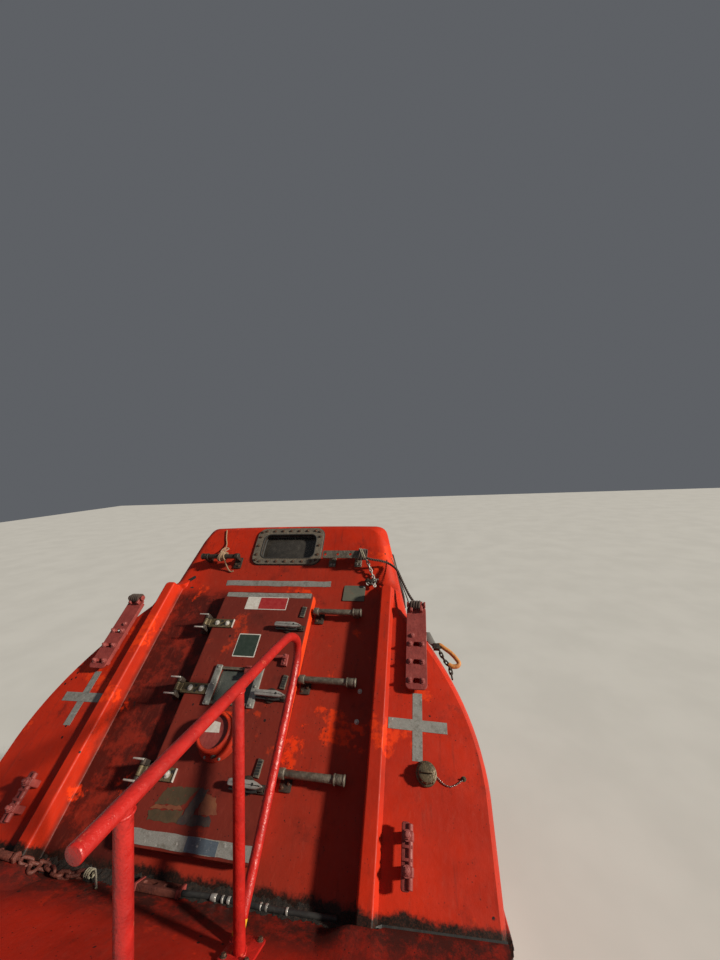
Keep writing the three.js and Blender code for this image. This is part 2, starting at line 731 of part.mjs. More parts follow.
function makeLink(side) {
  const [x0, x1, low, high] = [962, 1080, 841, 1325];
  const [under, face] = [96, 108];
  const middle = (x0 + x1) / 2;
  const base = panelHeight(x0) + gap;
  const plate = slab(roundedShape(x0, x1, low, high, 24), under, face);
  const edges = [x0, x1 - 10].map((x) => block(x, x + 10, low + 26, high - 26, under - 12,
    under + 2));
  const posts = linkSlots.flatMap((up) => [-1, 1].map((end) => rod([middle + end * 38, up, base],
    [middle + end * 38, up, under + 2], 13)));
  const ears = [-1, 1].map((end) => block(middle + end * 20 - 6, middle + end * 20 + 6, 1270, 1360,
    face - 6, face + 42));
  const pin = rod([middle - 41, 1325, face + 26], [middle + 41, 1325, face + 26], 13);
  const slots = linkSlots.map((up) => block(middle - 20, middle + 20, up - 13, up + 13, under - 20,
    face + 10));
  const link = united([plate, ...edges, ...posts, ...ears, pin]).subtract(united(slots));
  return geometryOf(side > 0 ? link : link.mirror([1, 0, 0]));
}

function makeGrab(side) {
  const x = side * 985;
  const base = panelHeight(970) + gap;
  const bar = block(x - 20, x + 20, 107, 311, 118, 130);
  const legs = [163, 267].map((up) => block(x - 18, x + 18, up - 16, up + 16, base, 122));
  return joined(bar, ...legs);
}

function makeCap() {
  const base = panelHeight(1015) + gap;
  const profile = [[0, base], [50, base], [50, base + 12], [40, base + 14], [40, base + 40],
    [30, base + 44], [30, base + 62], [0, base + 62]];
  const points = profile.map(([radius, out]) => new THREE.Vector2(radius, out));
  return new THREE.LatheGeometry(points, 20).rotateX(Math.PI / 2).translate(1064, 491, 0);
}

// Aft deck handrails. The starboard one bends down beside the door
const railRadius = 21;
const railX = 420;
const deckTop = deckHeight + gap;

function makeStarboardRail() {
  const at = (y, z) => [railX, y, deckHeight + z];
  const hoop = pipe([at(-1224, 557), at(-900, 712), at(-560, 872), at(-300, 996), at(-205, 1030),
    at(-95, 1018), at(-45, 950), at(-50, 850), at(-105, 600), at(-180, 290), at(-236, 60)],
  railRadius, 40);
  const posts = [rod(at(-1119, 600), at(-840, 0.8), railRadius), rod(at(-664, 824),
    at(-300, 0.8), railRadius)];
  const foot = rod(at(-236, 90), at(-262, 0.8), railRadius);
  const plates = [-840, -281].map((y) => block(railX - 60, railX + 60, y - 75, y + 75, deckTop,
    deckTop + 10));
  const trim = solidOf(block(0, 900, -1400, 400, 0, deckTop));
  return geometryOf(united([hoop, ...posts, foot, ...plates]).subtract(trim));
}

function makePortRail() {
  const at = (y, z) => [-950, y, deckHeight + z];
  const hoop = pipe([at(-840, 1), at(-1010, 366), at(-1112, 585), at(-1090, 665), at(-1000, 700),
    at(-800, 768), at(-690, 800), at(-630, 770), at(-590, 680), at(-440, 330), at(-290, 1)],
  railRadius, 34);
  const plates = [-840, -290].map((y) => block(-1010, -890, y - 75, y + 75, deckTop,
    deckTop + 10));
  const trim = solidOf(block(-1400, 0, -1400, 400, 0, deckTop));
  return geometryOf(united([hoop, ...plates]).subtract(trim));
}

function makeHatchLid() {
  const { half, aft, fore, coamingTop, lidThick, over, hingeAt, hingeHeight, hingeReach,
    hingeRadius } = hatch;
  const outline = roundedShape(-half - over, half + over, aft - over, fore + over, 80);
  const lid = slab(outline, coamingTop + gap, coamingTop + lidThick, 12);
  const knuckle = rod([-hingeReach, hingeAt, hingeHeight], [hingeReach, hingeAt, hingeHeight],
    hingeRadius);
  const straps = [-120, 90].map((x) => block(x, x + 30, fore - 60, hingeAt, hingeHeight - 6,
    hingeHeight + 8));
  const handle = [block(-60, -48, aft + 40, aft + 60, coamingTop + 30, coamingTop + 80),
    block(48, 60, aft + 40, aft + 60, coamingTop + 30, coamingTop + 80),
    rod([-60, aft + 50, coamingTop + 80], [60, aft + 50, coamingTop + 80], 10)];
  return joined(lid, knuckle, ...straps, ...handle);
}

// Grab rails along the forward canopy's roof
const roofRail = { from: 2520, to: 5050, rise: 95, inset: 70, radius: 15,
  posts: [2560, 3380, 4200, 5010] };

function roofPoint(side, y, rise) {
  const half = sample(canopyLines, roofHalfColumn, y) - roofRail.inset;
  return [side * half, y, sheer(y) + sample(canopyLines, roofHeightColumn, y) + rise];
}

function makeRoofRail(side) {
  const { from, to, rise, radius, posts } = roofRail;
  const stations = Array.from({ length: 9 }, (_, i) => from + ((to - from) * i) / 8);
  const bar = pipe(stations.map((y) => roofPoint(side, y, rise)), radius, 16, 10);
  const legs = posts.map((y) => rod(roofPoint(side, y, -40), roofPoint(side, y, rise), radius, 10));
  return geometryOf(united([bar, ...legs]).subtract(canopyOuter(gap)));
}

function makePositionLight() {
  const [x, y] = [520, 1640];
  const roof = 3030;
  const profile = [[0, 0], [60, 0], [60, 90], [18, 100], [18, 235], [46, 240], [46, 262], [40, 300],
    [24, 324], [0, 330]].map(([radius, up]) => new THREE.Vector2(radius, up));
  const light = solidOf(new THREE.LatheGeometry(profile, 20).rotateX(Math.PI / 2)
    .translate(x, y, roof));
  return geometryOf(light.subtract(canopyOuter(gap)));
}

// Towing and painter fitting on the stem, above the fender belt
function makeBowFitting() {
  const face = bowAt + gap;
  const middle = sheer(bowAt) + 75;
  const plate = block(-70, 70, face, face + 14, middle - 55, middle + 55);
  const cheeks = [-44, 30].map((x) => sidePrism([[face + 6, middle - 45], [face + 50, middle - 34],
    [face + 78, middle], [face + 50, middle + 34], [face + 6, middle + 45]], x, x + 14));
  const pin = rod([-52, face + 52, middle], [52, face + 52, middle], 12);
  return joined(plate, ...cheeks, pin);
}

function makeReleaseHook() {
  const bracket = block(-90, 90, transomAt - 22, transomAt - gap, 820, 1060);
  const cheeks = [-60, 44].map((x) => block(x, x + 16, transomAt - 150, transomAt - 10, 850,
    1030));
  const hook = sidePrism([[transomAt - 40, 990], [transomAt - 130, 990], [transomAt - 190, 940],
    [transomAt - 190, 880], [transomAt - 150, 870], [transomAt - 150, 915],
    [transomAt - 120, 940], [transomAt - 40, 930]], -16, 16);
  const pin = rod([-60, transomAt - 70, 960], [60, transomAt - 70, 960], 18);
  return joined(bracket, ...cheeks, hook, pin);
}

// The launching ramp: two girders at the launch angle on upright legs
const girderTop = runnerBottom - gap - slideThick - gap;
const girderMiddle = girderTop - girderDepth / 2;
const girderBottom = girderTop - girderDepth;
const girderAft = -1250;
const girderFore = 4700;
const legStations = [-750, 1700, 3900];
const sillHeight = 120;

function rampPoint(x, y, z) {
  return new THREE.Vector3(x, y, z).applyMatrix4(boatMatrix).toArray();
}

function makeGirder(side) {
  const flange = 22;
  const [w, t, h] = [75, 8, girderDepth / 2];
  const profile = polygon([[-w, -h], [w, -h], [w, flange - h], [t, flange - h], [t, h - flange],
    [w, h - flange], [w, h], [-w, h], [-w, h - flange], [-t, h - flange], [-t, flange - h],
    [-w, flange - h]]);
  const girder = new THREE.ExtrudeGeometry(profile, { depth: girderFore - girderAft,
    bevelEnabled: false });
  girder.rotateX(-Math.PI / 2);
  return girder.translate(side * runnerX, girderAft, girderMiddle);
}

// Three upright legs with foot plates, a sill along the floor and two braces, under a girder
const legAt = (x) => legStations.map((y) => rampPoint(x, y, girderMiddle));

function makeLegFrame(side) {
  const x = side * runnerX;
  const tops = legAt(x);
  const sillTop = footThick + sillHeight;
  const [aft, middle, fore] = tops.map(([, y]) => y);
  const capShift = (girderMiddle - girderBottom) * Math.tan(radians(launchAngle));
  const parts = [block(x - 60, x + 60, aft - 100, fore + 100, footThick - 2, sillTop)];
  for (const [i, top] of tops.entries()) {
    const capAt = legStations[i] + capShift;
    parts.push(beam([x, top[1], footThick - 5], top, legSize, legSize));
    parts.push(block(x - 170, x + 170, top[1] - 170, top[1] + 170, 0, footThick));
    parts.push(block(x - 100, x + 100, capAt - 170, capAt + 170, girderBottom - capPlateThick,
      girderBottom).applyMatrix4(boatMatrix));
  }
  const braces = [
    [[x, middle, sillTop + 60], rampPoint(x, legStations[0] + 280, girderBottom - 30)],
    [[x, fore, sillTop + 60], rampPoint(x, legStations[1] + 200, girderBottom - 30)],
  ];
  for (const [from, to] of braces) parts.push(beam(from, to, 70, 70));
  const above = solidOf(block(-2000, 2000, -3000, 7000, girderBottom - gap, 3000), boatMatrix);
  return geometryOf(united(parts).subtract(above));
}

function makeCrossBeam(y) {
  const reach = runnerX - 8 - gap;
  return beam([-reach, y, girderMiddle - 40], [reach, y, girderMiddle - 40], 130, 130);
}

function makeRearBrace(legY, legTop) {
  const reach = runnerX - legSize / 2 - gap;
  const low = 300;
  const rodSize = 35;
  const inner = reach - 45;
  const bars = [
    rod([-inner, legY, low], [inner, legY, legTop], rodSize),
    rod([inner, legY, low], [-inner, legY, legTop], rodSize),
  ];
  for (const side of [-1, 1]) {
    for (const z of [low, legTop]) {
      const x0 = side > 0 ? inner - 60 : -reach;
      const x1 = side > 0 ? reach : -inner + 60;
      bars.push(block(x0, x1, legY - 12, legY + 12, z - 90, z + 90));
    }
  }
  return joined(...bars);
}

// Assembly
place(boat, 'hull', makeHull(), hullRed);
for (const [name, part] of Object.entries(makeCanopyParts())) place(boat, name, part, orangeRed);
place(boat, 'fender_belt', makeBelt(), rubber);
place(boat, 'runner_port', makeRunner(-1), hullRed);
place(boat, 'runner_starboard', makeRunner(1), hullRed);
place(boat, 'skeg', makeSkeg(), hullRed);
place(boat, 'engine_block', block(-290, 290, 300, 1050, 380, 900), machineGreen);
place(boat, 'propeller_shaft', makeShaft(), steel);
place(boat, 'propeller', makePropeller(), bronze);
place(boat, 'steering_nozzle', makeNozzle(), darkRed);
place(boat, 'cabin_seating', makeSeating(), seatOrange);
place(boat, 'helm_console', makeConsole(), greyPaint);
place(boat, 'roof_hatch_lid', makeHatchLid(), orangeRed);
place(boat, 'roof_rail_port', makeRoofRail(-1), railRed);
place(boat, 'roof_rail_starboard', makeRoofRail(1), railRed);
place(boat, 'position_light', makePositionLight(), greyPaint);
place(boat, 'bow_fitting', makeBowFitting(), steel);
place(boat, 'handrail_starboard', makeStarboardRail(), railRed);
place(boat, 'handrail_port', makePortRail(), railRed);
place(boat, 'release_hook', makeReleaseHook(), darkRed);
for (const window of windows) place(boat, window.name, pane(window), glass);

place(stern, 'stern_door', makeDoor(), orangeRed);
const doorGlass = roundedShape(doorPane.left + 0.5, doorPane.right - 0.5, doorPane.foot + 0.5,
  doorPane.top - 0.5, 25);
place(stern, 'door_pane', slab(doorGlass, 48, 62), glass);
hingeHeights.forEach((up, i) => place(stern, `hinge_${i + 1}`, makeHinge(up), steel));
dogHeights.forEach((up, i) => place(stern, `door_dog_${i + 1}`, makeDog(up), steel));
place(stern, 'door_vent', makeVent(), orangeRed);
// Columns: inner end, outer end, height up the slope
const rungs = [[335, 677, 432], [335, 677, 872], [335, 660, 1300]];
rungs.forEach(([inner, outer, up], i) => place(stern, `rung_${i + 1}`,
  makeRung(inner, outer, up, rungOut), greyTube));
place(band, 'top_step_starboard', makeTopStep(327, 640, 239), greyTube);
place(band, 'top_step_port', makeRung(-350, -668, 221, topRungOut), greyTube);
for (const [side, sideName] of [[-1, 'port'], [1, 'starboard']]) {
  place(stern, `lifting_link_${sideName}`, makeLink(side), darkRed);
  place(stern, `grab_handle_${sideName}`, makeGrab(side), darkRed);
}
place(stern, 'filler_cap', makeCap(), bronze);

const frameShape = roundedShape(aftFrame.left, aftFrame.right, aftFrame.foot, aftFrame.top,
  aftFrame.corner);
frameShape.holes.push(roundedShape(aftWindow.left, aftWindow.right, aftWindow.foot,
  aftWindow.top, aftWindow.corner));
place(band, 'aft_window_frame', slab(frameShape, gap, aftFrame.thick), greyPaint);
const aftGlass = roundedShape(aftWindow.left + paneGap, aftWindow.right - paneGap,
  aftWindow.foot + paneGap, aftWindow.top - paneGap, aftWindow.corner);
place(band, 'aft_window_pane', slab(aftGlass, -40, -28), glass);

for (const [side, sideName] of [[-1, 'port'], [1, 'starboard']]) {
  place(boat, `ramp_girder_${sideName}`, makeGirder(side), rampGrey);
  place(lifeboat, `ramp_legs_${sideName}`, makeLegFrame(side), rampGrey);
  place(boat, `slide_rail_${sideName}`, block(side * runnerX - 62, side * runnerX + 62, -420, 4560,
    girderTop + gap, runnerBottom - gap), slideBlue);
}
const crossStations = [-1150, 550, 2700, 4550];
crossStations.forEach((y, i) => place(boat, `ramp_cross_${i + 1}`, makeCrossBeam(y), rampGrey));
const rearLeg = rampPoint(0, legStations[0], girderMiddle);
place(lifeboat, 'ramp_rear_brace', makeRearBrace(rearLeg[1], rearLeg[2] - 500), rampGrey);
const sillReach = runnerX - 60 - gap;
for (const [i, y] of [legStations[0], legStations[2]].entries()) {
  const at = rampPoint(0, y, girderMiddle)[1];
  const offset = i === 0 ? -125 : 125;
  place(lifeboat, `ramp_sill_${i + 1}`, block(-sillReach, sillReach, at + offset - 45,
    at + offset + 45, footThick, footThick + sillHeight - 20), rampGrey);
}

export default lifeboat;
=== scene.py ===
"""The looks of an enclosed free-fall lifeboat on its launching ramp. Lengths are in metres."""
import json
import math
import random

import bmesh
import bpy
from mathutils import Matrix, Vector

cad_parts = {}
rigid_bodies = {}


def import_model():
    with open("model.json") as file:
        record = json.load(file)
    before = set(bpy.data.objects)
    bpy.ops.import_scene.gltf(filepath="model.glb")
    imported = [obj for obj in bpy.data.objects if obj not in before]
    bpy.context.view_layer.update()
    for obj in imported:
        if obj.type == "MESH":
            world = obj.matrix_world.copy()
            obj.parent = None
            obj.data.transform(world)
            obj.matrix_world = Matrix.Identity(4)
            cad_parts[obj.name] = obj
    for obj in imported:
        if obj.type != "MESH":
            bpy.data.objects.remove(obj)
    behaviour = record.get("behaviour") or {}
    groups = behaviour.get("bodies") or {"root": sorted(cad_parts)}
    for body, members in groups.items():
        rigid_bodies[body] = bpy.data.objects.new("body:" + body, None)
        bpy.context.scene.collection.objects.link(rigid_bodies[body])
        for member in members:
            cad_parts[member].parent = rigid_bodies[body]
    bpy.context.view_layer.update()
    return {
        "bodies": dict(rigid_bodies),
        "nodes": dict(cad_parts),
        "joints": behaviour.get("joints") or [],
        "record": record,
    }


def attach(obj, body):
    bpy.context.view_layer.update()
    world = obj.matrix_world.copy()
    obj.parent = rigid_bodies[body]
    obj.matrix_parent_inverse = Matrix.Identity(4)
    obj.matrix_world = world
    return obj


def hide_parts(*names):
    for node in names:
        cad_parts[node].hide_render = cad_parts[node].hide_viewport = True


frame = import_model()
nodes = frame["nodes"]
joints = {joint["name"]: joint for joint in frame["joints"]}

# Frames: the boat's own (x to starboard, y ahead, z up from its baseline), the same one raised
# to its deck, its raked stern bulkhead's (x, s up the slope, n out from the recessed panel),
# and that of the band above the door, where the recess's floor slopes out
DECK = 1.2
RAKE = math.radians(69.4)
boat_up = Vector(joints["nozzle_steer"]["axis"]).normalized()
boat_ahead = Vector(joints["screw_spin"]["axis"]).normalized()
boat_across = boat_ahead.cross(boat_up)
propeller_at = Vector(joints["screw_spin"]["pos_m"])
boat_origin = propeller_at + 0.65 * boat_ahead - 0.15 * boat_up
BOAT = Matrix((boat_across, boat_ahead, boat_up)).transposed().to_4x4()
BOAT.translation = boat_origin
ON_DECK = BOAT @ Matrix.Translation((0, 0, DECK))
STERN = ON_DECK @ Matrix.Rotation(RAKE, 4, "X")
BAND_FOOT, BAND_RISE = 1.5, 0.162
BAND = STERN @ Matrix.Translation((0, BAND_FOOT, 0)) @ Matrix.Rotation(math.atan(BAND_RISE), 4, "X")
WORLD = Matrix.Identity(4)
HULL = "boat_and_ramp"
SIDES = ((-1, "port"), (1, "starboard"))
# What lies on a face stands this far off it
GAP = 0.0004
DOOR_FACE = 0.0762
# Radius at which a turned profile starts and ends, in place of nought
AXIS = 0.0001


# Camera at the photograph's viewpoint, in the stern bulkhead's frame
def make_camera():
    right = Vector((0.9818, 0.11276, -0.15283))
    down = Vector((-0.0389, -0.66824, -0.74293))
    eye = Vector((1.1314, 0.118, 2.2697))
    turn = STERN.to_3x3()
    right = (turn @ right).normalized()
    back = right.cross(-(turn @ down)).normalized()
    lift = back.cross(right)
    data = bpy.data.cameras.new("camera")
    data.lens = 13.65
    data.sensor_width = 36
    data.sensor_height = 36
    data.sensor_fit = "VERTICAL"
    data.clip_end = 300
    camera = bpy.data.objects.new("camera", data)
    camera.matrix_world = Matrix((right, lift, back)).transposed().to_4x4()
    camera.matrix_world.translation = STERN @ eye
    bpy.context.scene.collection.objects.link(camera)
    bpy.context.scene.camera = camera


make_camera()


# Node materials
class Paint:
    """A material under construction. Numbers, colours and sockets all go to its inputs."""

    def __init__(self, name, place=None):
        self.material = bpy.data.materials.new(name)
        self.material.use_nodes = True
        self.tree = self.material.node_tree
        self.shader = self.tree.nodes["Principled BSDF"]
        self.where = self.node("ShaderNodeTexCoord").outputs["Object"]
        if place is not None:
            mapping = self.node("ShaderNodeMapping", vector_type="TEXTURE")
            self.put(mapping, {"Vector": self.where, "Location": place.translation,
                               "Rotation": place.to_euler()})
            self.where = mapping.outputs[0]

    def put(self, node, inputs):
        for key, value in inputs.items():
            if isinstance(value, bpy.types.NodeSocket):
                self.tree.links.new(value, node.inputs[key])
            else:
                node.inputs[key].default_value = value
        return node

    def node(self, kind, inputs=None, **settings):
        node = self.tree.nodes.new(kind)
        for key, value in settings.items():
            setattr(node, key, value)
        return self.put(node, inputs or {})

    def noise(self, scale, detail=4, rough=0.55, stretch=(1, 1, 1), shift=0.0):
        inputs = {"Vector": self.where, "Scale": stretch, "Location": (shift, shift, shift)}
        where = self.node("ShaderNodeMapping", inputs).outputs[0]
        inputs = {"Vector": where, "Scale": scale, "Detail": detail, "Roughness": rough}
        return self.node("ShaderNodeTexNoise", inputs).outputs["Fac"]

    def cells(self, scale):
        return self.node("ShaderNodeTexVoronoi",
                         {"Vector": self.where, "Scale": scale}).outputs["Distance"]

    def band(self, value, low, high, start=0.0, end=1.0):
        inputs = {"Value": value, "From Min": low, "From Max": high, "To Min": start, "To Max": end}
        return self.node("ShaderNodeMapRange", inputs, interpolation_type="SMOOTHSTEP").outputs[0]

    def math(self, kind, a, b=0.5):
        return self.node("ShaderNodeMath", {0: a, 1: b}, operation=kind).outputs[0]

    def times(self, a, b):
        return self.math("MULTIPLY", a, b)

    def axis(self, name):
        return self.node("ShaderNodeSeparateXYZ", {0: self.where}).outputs[name]

    def mix(self, share, a, b):
        a, b = (c if isinstance(c, bpy.types.NodeSocket) else (*c, 1) for c in (a, b))
        return self.node("ShaderNodeMix", {0: share, 6: a, 7: b}, data_type="RGBA").outputs[2]

    def bump(self, height, strength, distance, onto=None):
        inputs = {"Height": height, "Strength": strength, "Distance": distance}
        if onto is not None:
            inputs["Normal"] = onto
        return self.node("ShaderNodeBump", inputs).outputs[0]

    def finish(self, **inputs):
        for key, value in inputs.items():
            color = isinstance(value, tuple) and len(value) == 3
            self.put(self.shader, {key.replace("_", " "): (*value, 1) if color else value})
        return self.material


def speckled(paint, color):
    """Fine black specks in crowds, and a few larger chips."""
    chosen = paint.band(paint.noise(24, 2, 0.5, shift=5), 0.5, 0.56)
    crowd = paint.band(paint.noise(1.3, 3, 0.5, shift=11), 0.36, 0.58)
    speck = paint.times(paint.band(paint.cells(62), 0.2, 0.12), chosen)
    color = paint.mix(paint.times(speck, crowd), color, (0.012, 0.008, 0.008))
    rare = paint.band(paint.noise(9, 2, 0.5, shift=21), 0.6, 0.63)
    chip = paint.times(paint.band(paint.cells(21), 0.17, 0.13), rare)
    return paint.mix(chip, color, (0.02, 0.01, 0.01))


def recess_share(paint):
    """One on the recessed floor of the stern bulkhead below the band, none elsewhere."""
    wide = paint.band(paint.math("ABSOLUTE", paint.axis("X")), 0.8, 0.775)
    low = paint.band(paint.axis("Y"), 1.53, 1.4)
    flat = paint.band(paint.axis("Z"), 0.045, 0.004)
    return paint.times(paint.times(wide, low), flat)


def under_window_share(paint):
    """Most of one on the band under the aft window, none at its outer corners or further forward."""
    inner = paint.band(paint.math("ABSOLUTE", paint.axis("X")), 0.72, 0.54)
    below = paint.band(paint.axis("Y"), 1.8, 1.66, 0, 0.75)
    aft = paint.band(paint.axis("Z"), -0.35, -0.2)
    return paint.times(paint.times(inner, below), aft)


def gelcoat(name, place, fresh, worn, touch_up, patchy, dirt_line=None, dull=None, lit_side_from=None,
            darker_from=None):
    """Faded moulded paint with touched-up patches, runs, black specks and dirt in its corners, and, where
    asked, darker patches, painted shadow and a painted highlight.
    """
    paint = Paint(name, place)
    broad = paint.noise(1.7, 5, 0.6)
    color = paint.mix(paint.band(broad, 0.35, 0.65), worn, fresh)
    # Darker and duller in uneven patches on the recessed floor below the band and on the band under the
    # aft window.
    if dull is not None:
        uneven = paint.band(paint.noise(3.2, 5, 0.62, shift=17), 0.3, 0.7, 0.7, 1.0)
        duller_share = paint.math("MAXIMUM", recess_share(paint), under_window_share(paint))
        color = paint.mix(paint.times(duller_share, uneven), color, dull)
        # Painted shadow and dirt: the recessed floor port of the door goes near black in blotches, for a
        # cast shadow that falls there and for soil.
        shadow_and_soil = paint.times(recess_share(paint), paint.band(paint.axis("X"), -0.3, -0.4))
        blotch = paint.band(paint.noise(7, 8, 0.75, shift=31), 0.38, 0.54, 0.4, 0.95)
        color = paint.mix(paint.times(shadow_and_soil, blotch), color, (0.05, 0.007, 0.005))
    streak = paint.noise(3.0, 5, 0.65, stretch=(9, 1.1, 1.1))
    color = paint.mix(paint.band(streak, 0.54, 0.78, 0, 0.5), color, (0.12, 0.018, 0.012))
    patch = paint.band(paint.noise(2.6, 6, 0.62, shift=7.3), 0.585, 0.615)
    edge = paint.band(paint.noise(26, 3, 0.6), 0.35, 0.6)
    color = paint.mix(paint.times(paint.times(patch, edge), patchy), color, touch_up)
    chalk = paint.band(paint.noise(60, 5, 0.7, stretch=(1, 0.3, 1)), 0.5, 0.8, 0, 0.2)
    color = paint.mix(chalk, color, (0.4, 0.085, 0.055))
    grime = paint.band(paint.noise(5.0, 8, 0.75, shift=3.1), 0.54, 0.8, 0, 0.8)
    color = paint.mix(grime, color, (0.05, 0.012, 0.009))
    # Darker in blotches on the deck towards the bulkhead's foot.
    if darker_from is not None:
        near = paint.band(paint.axis("Y"), *darker_from)
        dark_blotch = paint.band(paint.noise(8, 8, 0.82, shift=13), 0.36, 0.56, 0.4, 0.96)
        color = paint.mix(paint.times(near, dark_blotch), color, (0.03, 0.01, 0.008))
    # Painted highlight: from this x outwards the door's starboard edge and side take the bright touch-up
    # colour, as the sun lights that side.
    if lit_side_from is not None:
        color = paint.mix(paint.band(paint.axis("X"), lit_side_from, lit_side_from + 0.004), color, touch_up)
    color = speckled(paint, color)
    if dirt_line is not None:
        along = paint.axis("Y")
        ragged = paint.noise(9, 6, 0.75)
        reach = paint.math("SUBTRACT", paint.times(ragged, dirt_line * 2.2), along)
        foot = paint.band(reach, 0.0, dirt_line * 0.5)
        grain = paint.mix(paint.band(paint.noise(130, 6, 0.8), 0.42, 0.66), (0.007, 0.005, 0.004),
                          (0.05, 0.015, 0.009))
        color = paint.mix(foot, color, grain)
    orange_peel = paint.noise(170, 2, 0.5)
    scuff = paint.noise(38, 6, 0.7)
    normal = paint.bump(orange_peel, 0.1, 0.002)
    normal = paint.bump(scuff, 0.22, 0.004, normal)
    normal = paint.bump(broad, 0.35, 0.02, normal)
    rough = paint.band(paint.noise(14, 6, 0.7), 0.3, 0.75, 0.42, 0.66)
    return paint.finish(Base_Color=color, Roughness=rough, Normal=normal, Specular_IOR_Level=0.22)


def plain_paint(name, base, other, dirt, scale, rough, metal=0.0, bump=0.15, chips=None):
    """Paint or metal with a second shade, dirt in patches and, if asked, chips to another colour."""
    paint = Paint(name)
    color = paint.mix(paint.band(paint.noise(scale, 6, 0.62), 0.38, 0.66), base, other)
    color = paint.mix(paint.band(paint.noise(scale * 2.3, 8, 0.75, shift=4), 0.54, 0.76, 0, 0.85), color,
                      dirt)
    if chips is not None:
        chip = paint.band(paint.noise(scale * 1.6, 10, 0.8, shift=9), 0.625, 0.65)
        color = paint.mix(chip, color, chips)
    fine = paint.noise(scale * 14, 4, 0.6)
    normal = paint.bump(fine, bump, 0.002)
    normal = paint.bump(paint.noise(scale * 3, 4, 0.5, shift=2), bump, 0.006, normal)
    roughness = paint.band(paint.noise(scale * 4, 6, 0.7, shift=1), 0.3, 0.7, *rough)
    return paint.finish(Base_Color=color, Roughness=roughness, Metallic=metal, Normal=normal)


def rusty_ramp(name):
    """Thick off-white marine paint with rust bleeding down from chips."""
    paint = Paint(name)
    color = paint.mix(paint.band(paint.noise(2.2, 5, 0.6), 0.35, 0.68), (0.5, 0.49, 0.44),
                      (0.6, 0.59, 0.54))
    run = paint.noise(3.4, 6, 0.7, stretch=(4, 4, 0.5), shift=2)
    color = paint.mix(paint.band(run, 0.58, 0.74, 0, 0.8), color, (0.3, 0.14, 0.06))
    chip = paint.noise(5.5, 12, 0.8, shift=6)
    color = paint.mix(paint.band(chip, 0.6, 0.64), color, (0.11, 0.042, 0.022))
    dark_blotch = paint.band(paint.noise(1.5, 8, 0.7, shift=12), 0.52, 0.8, 0, 0.4)
    color = paint.mix(dark_blotch, color, (0.22, 0.2, 0.17))
    normal = paint.bump(paint.noise(90, 4, 0.6), 0.15, 0.002)
    normal = paint.bump(paint.band(chip, 0.6, 0.64, 1, 0), 0.4, 0.002, normal)
    return paint.finish(Base_Color=color, Roughness=0.62, Normal=normal)


def tape_face(name, tint, edge_dirt):
    """Worn retro-reflective tape: a fine grid of cells under scratches and dirt."""
    paint = Paint(name, STERN)
    cell = paint.cells(520)
    color = paint.mix(paint.band(cell, 0.2, 0.6), tint, tuple(c * 0.66 for c in tint))
    color = paint.mix(paint.band(paint.noise(30, 8, 0.78), 0.46, 0.72, 0, 0.8), color, edge_dirt)
    pale = paint.band(paint.noise(55, 6, 0.7, shift=3), 0.58, 0.72, 0, 0.6)
    color = paint.mix(pale, color, (0.62, 0.62, 0.6))
    normal = paint.bump(cell, 0.2, 0.0008)
    normal = paint.bump(paint.noise(18, 5, 0.6), 0.5, 0.004, normal)
    return paint.finish(Base_Color=color, Roughness=0.42, Metallic=0.25, Normal=normal)


def glass_face(name, tint, cloud):
    paint = Paint(name)
    film = paint.band(paint.noise(16, 8, 0.75), 0.42, 0.75, 0.0, 0.55)
    color = paint.mix(film, tint, cloud)
    rough = paint.band(paint.noise(40, 6, 0.7), 0.3, 0.7, 0.1, 0.34)
    return paint.finish(Base_Color=color, Roughness=rough, Alpha=0.86, Specular_IOR_Level=0.6)


def fibre(name, light, dark, twist):
    """Laid rope: strands that wind round it, with fuzz."""
    paint = Paint(name)
    color = paint.mix(paint.band(paint.noise(twist, 5, 0.65), 0.35, 0.65), dark, light)
    normal = paint.bump(paint.noise(700, 3, 0.6, stretch=(1, 1, 0.4)), 0.7, 0.001)
    return paint.finish(Base_Color=color, Roughness=0.9, Normal=normal, Sheen_Weight=0.25)


def crust(name, dark, light):
    paint = Paint(name)
    color = paint.mix(paint.band(paint.noise(80, 7, 0.75), 0.45, 0.72), dark, light)
    normal = paint.bump(paint.noise(200, 8, 0.8), 1.0, 0.006)
    return paint.finish(Base_Color=color, Roughness=0.92, Normal=normal)


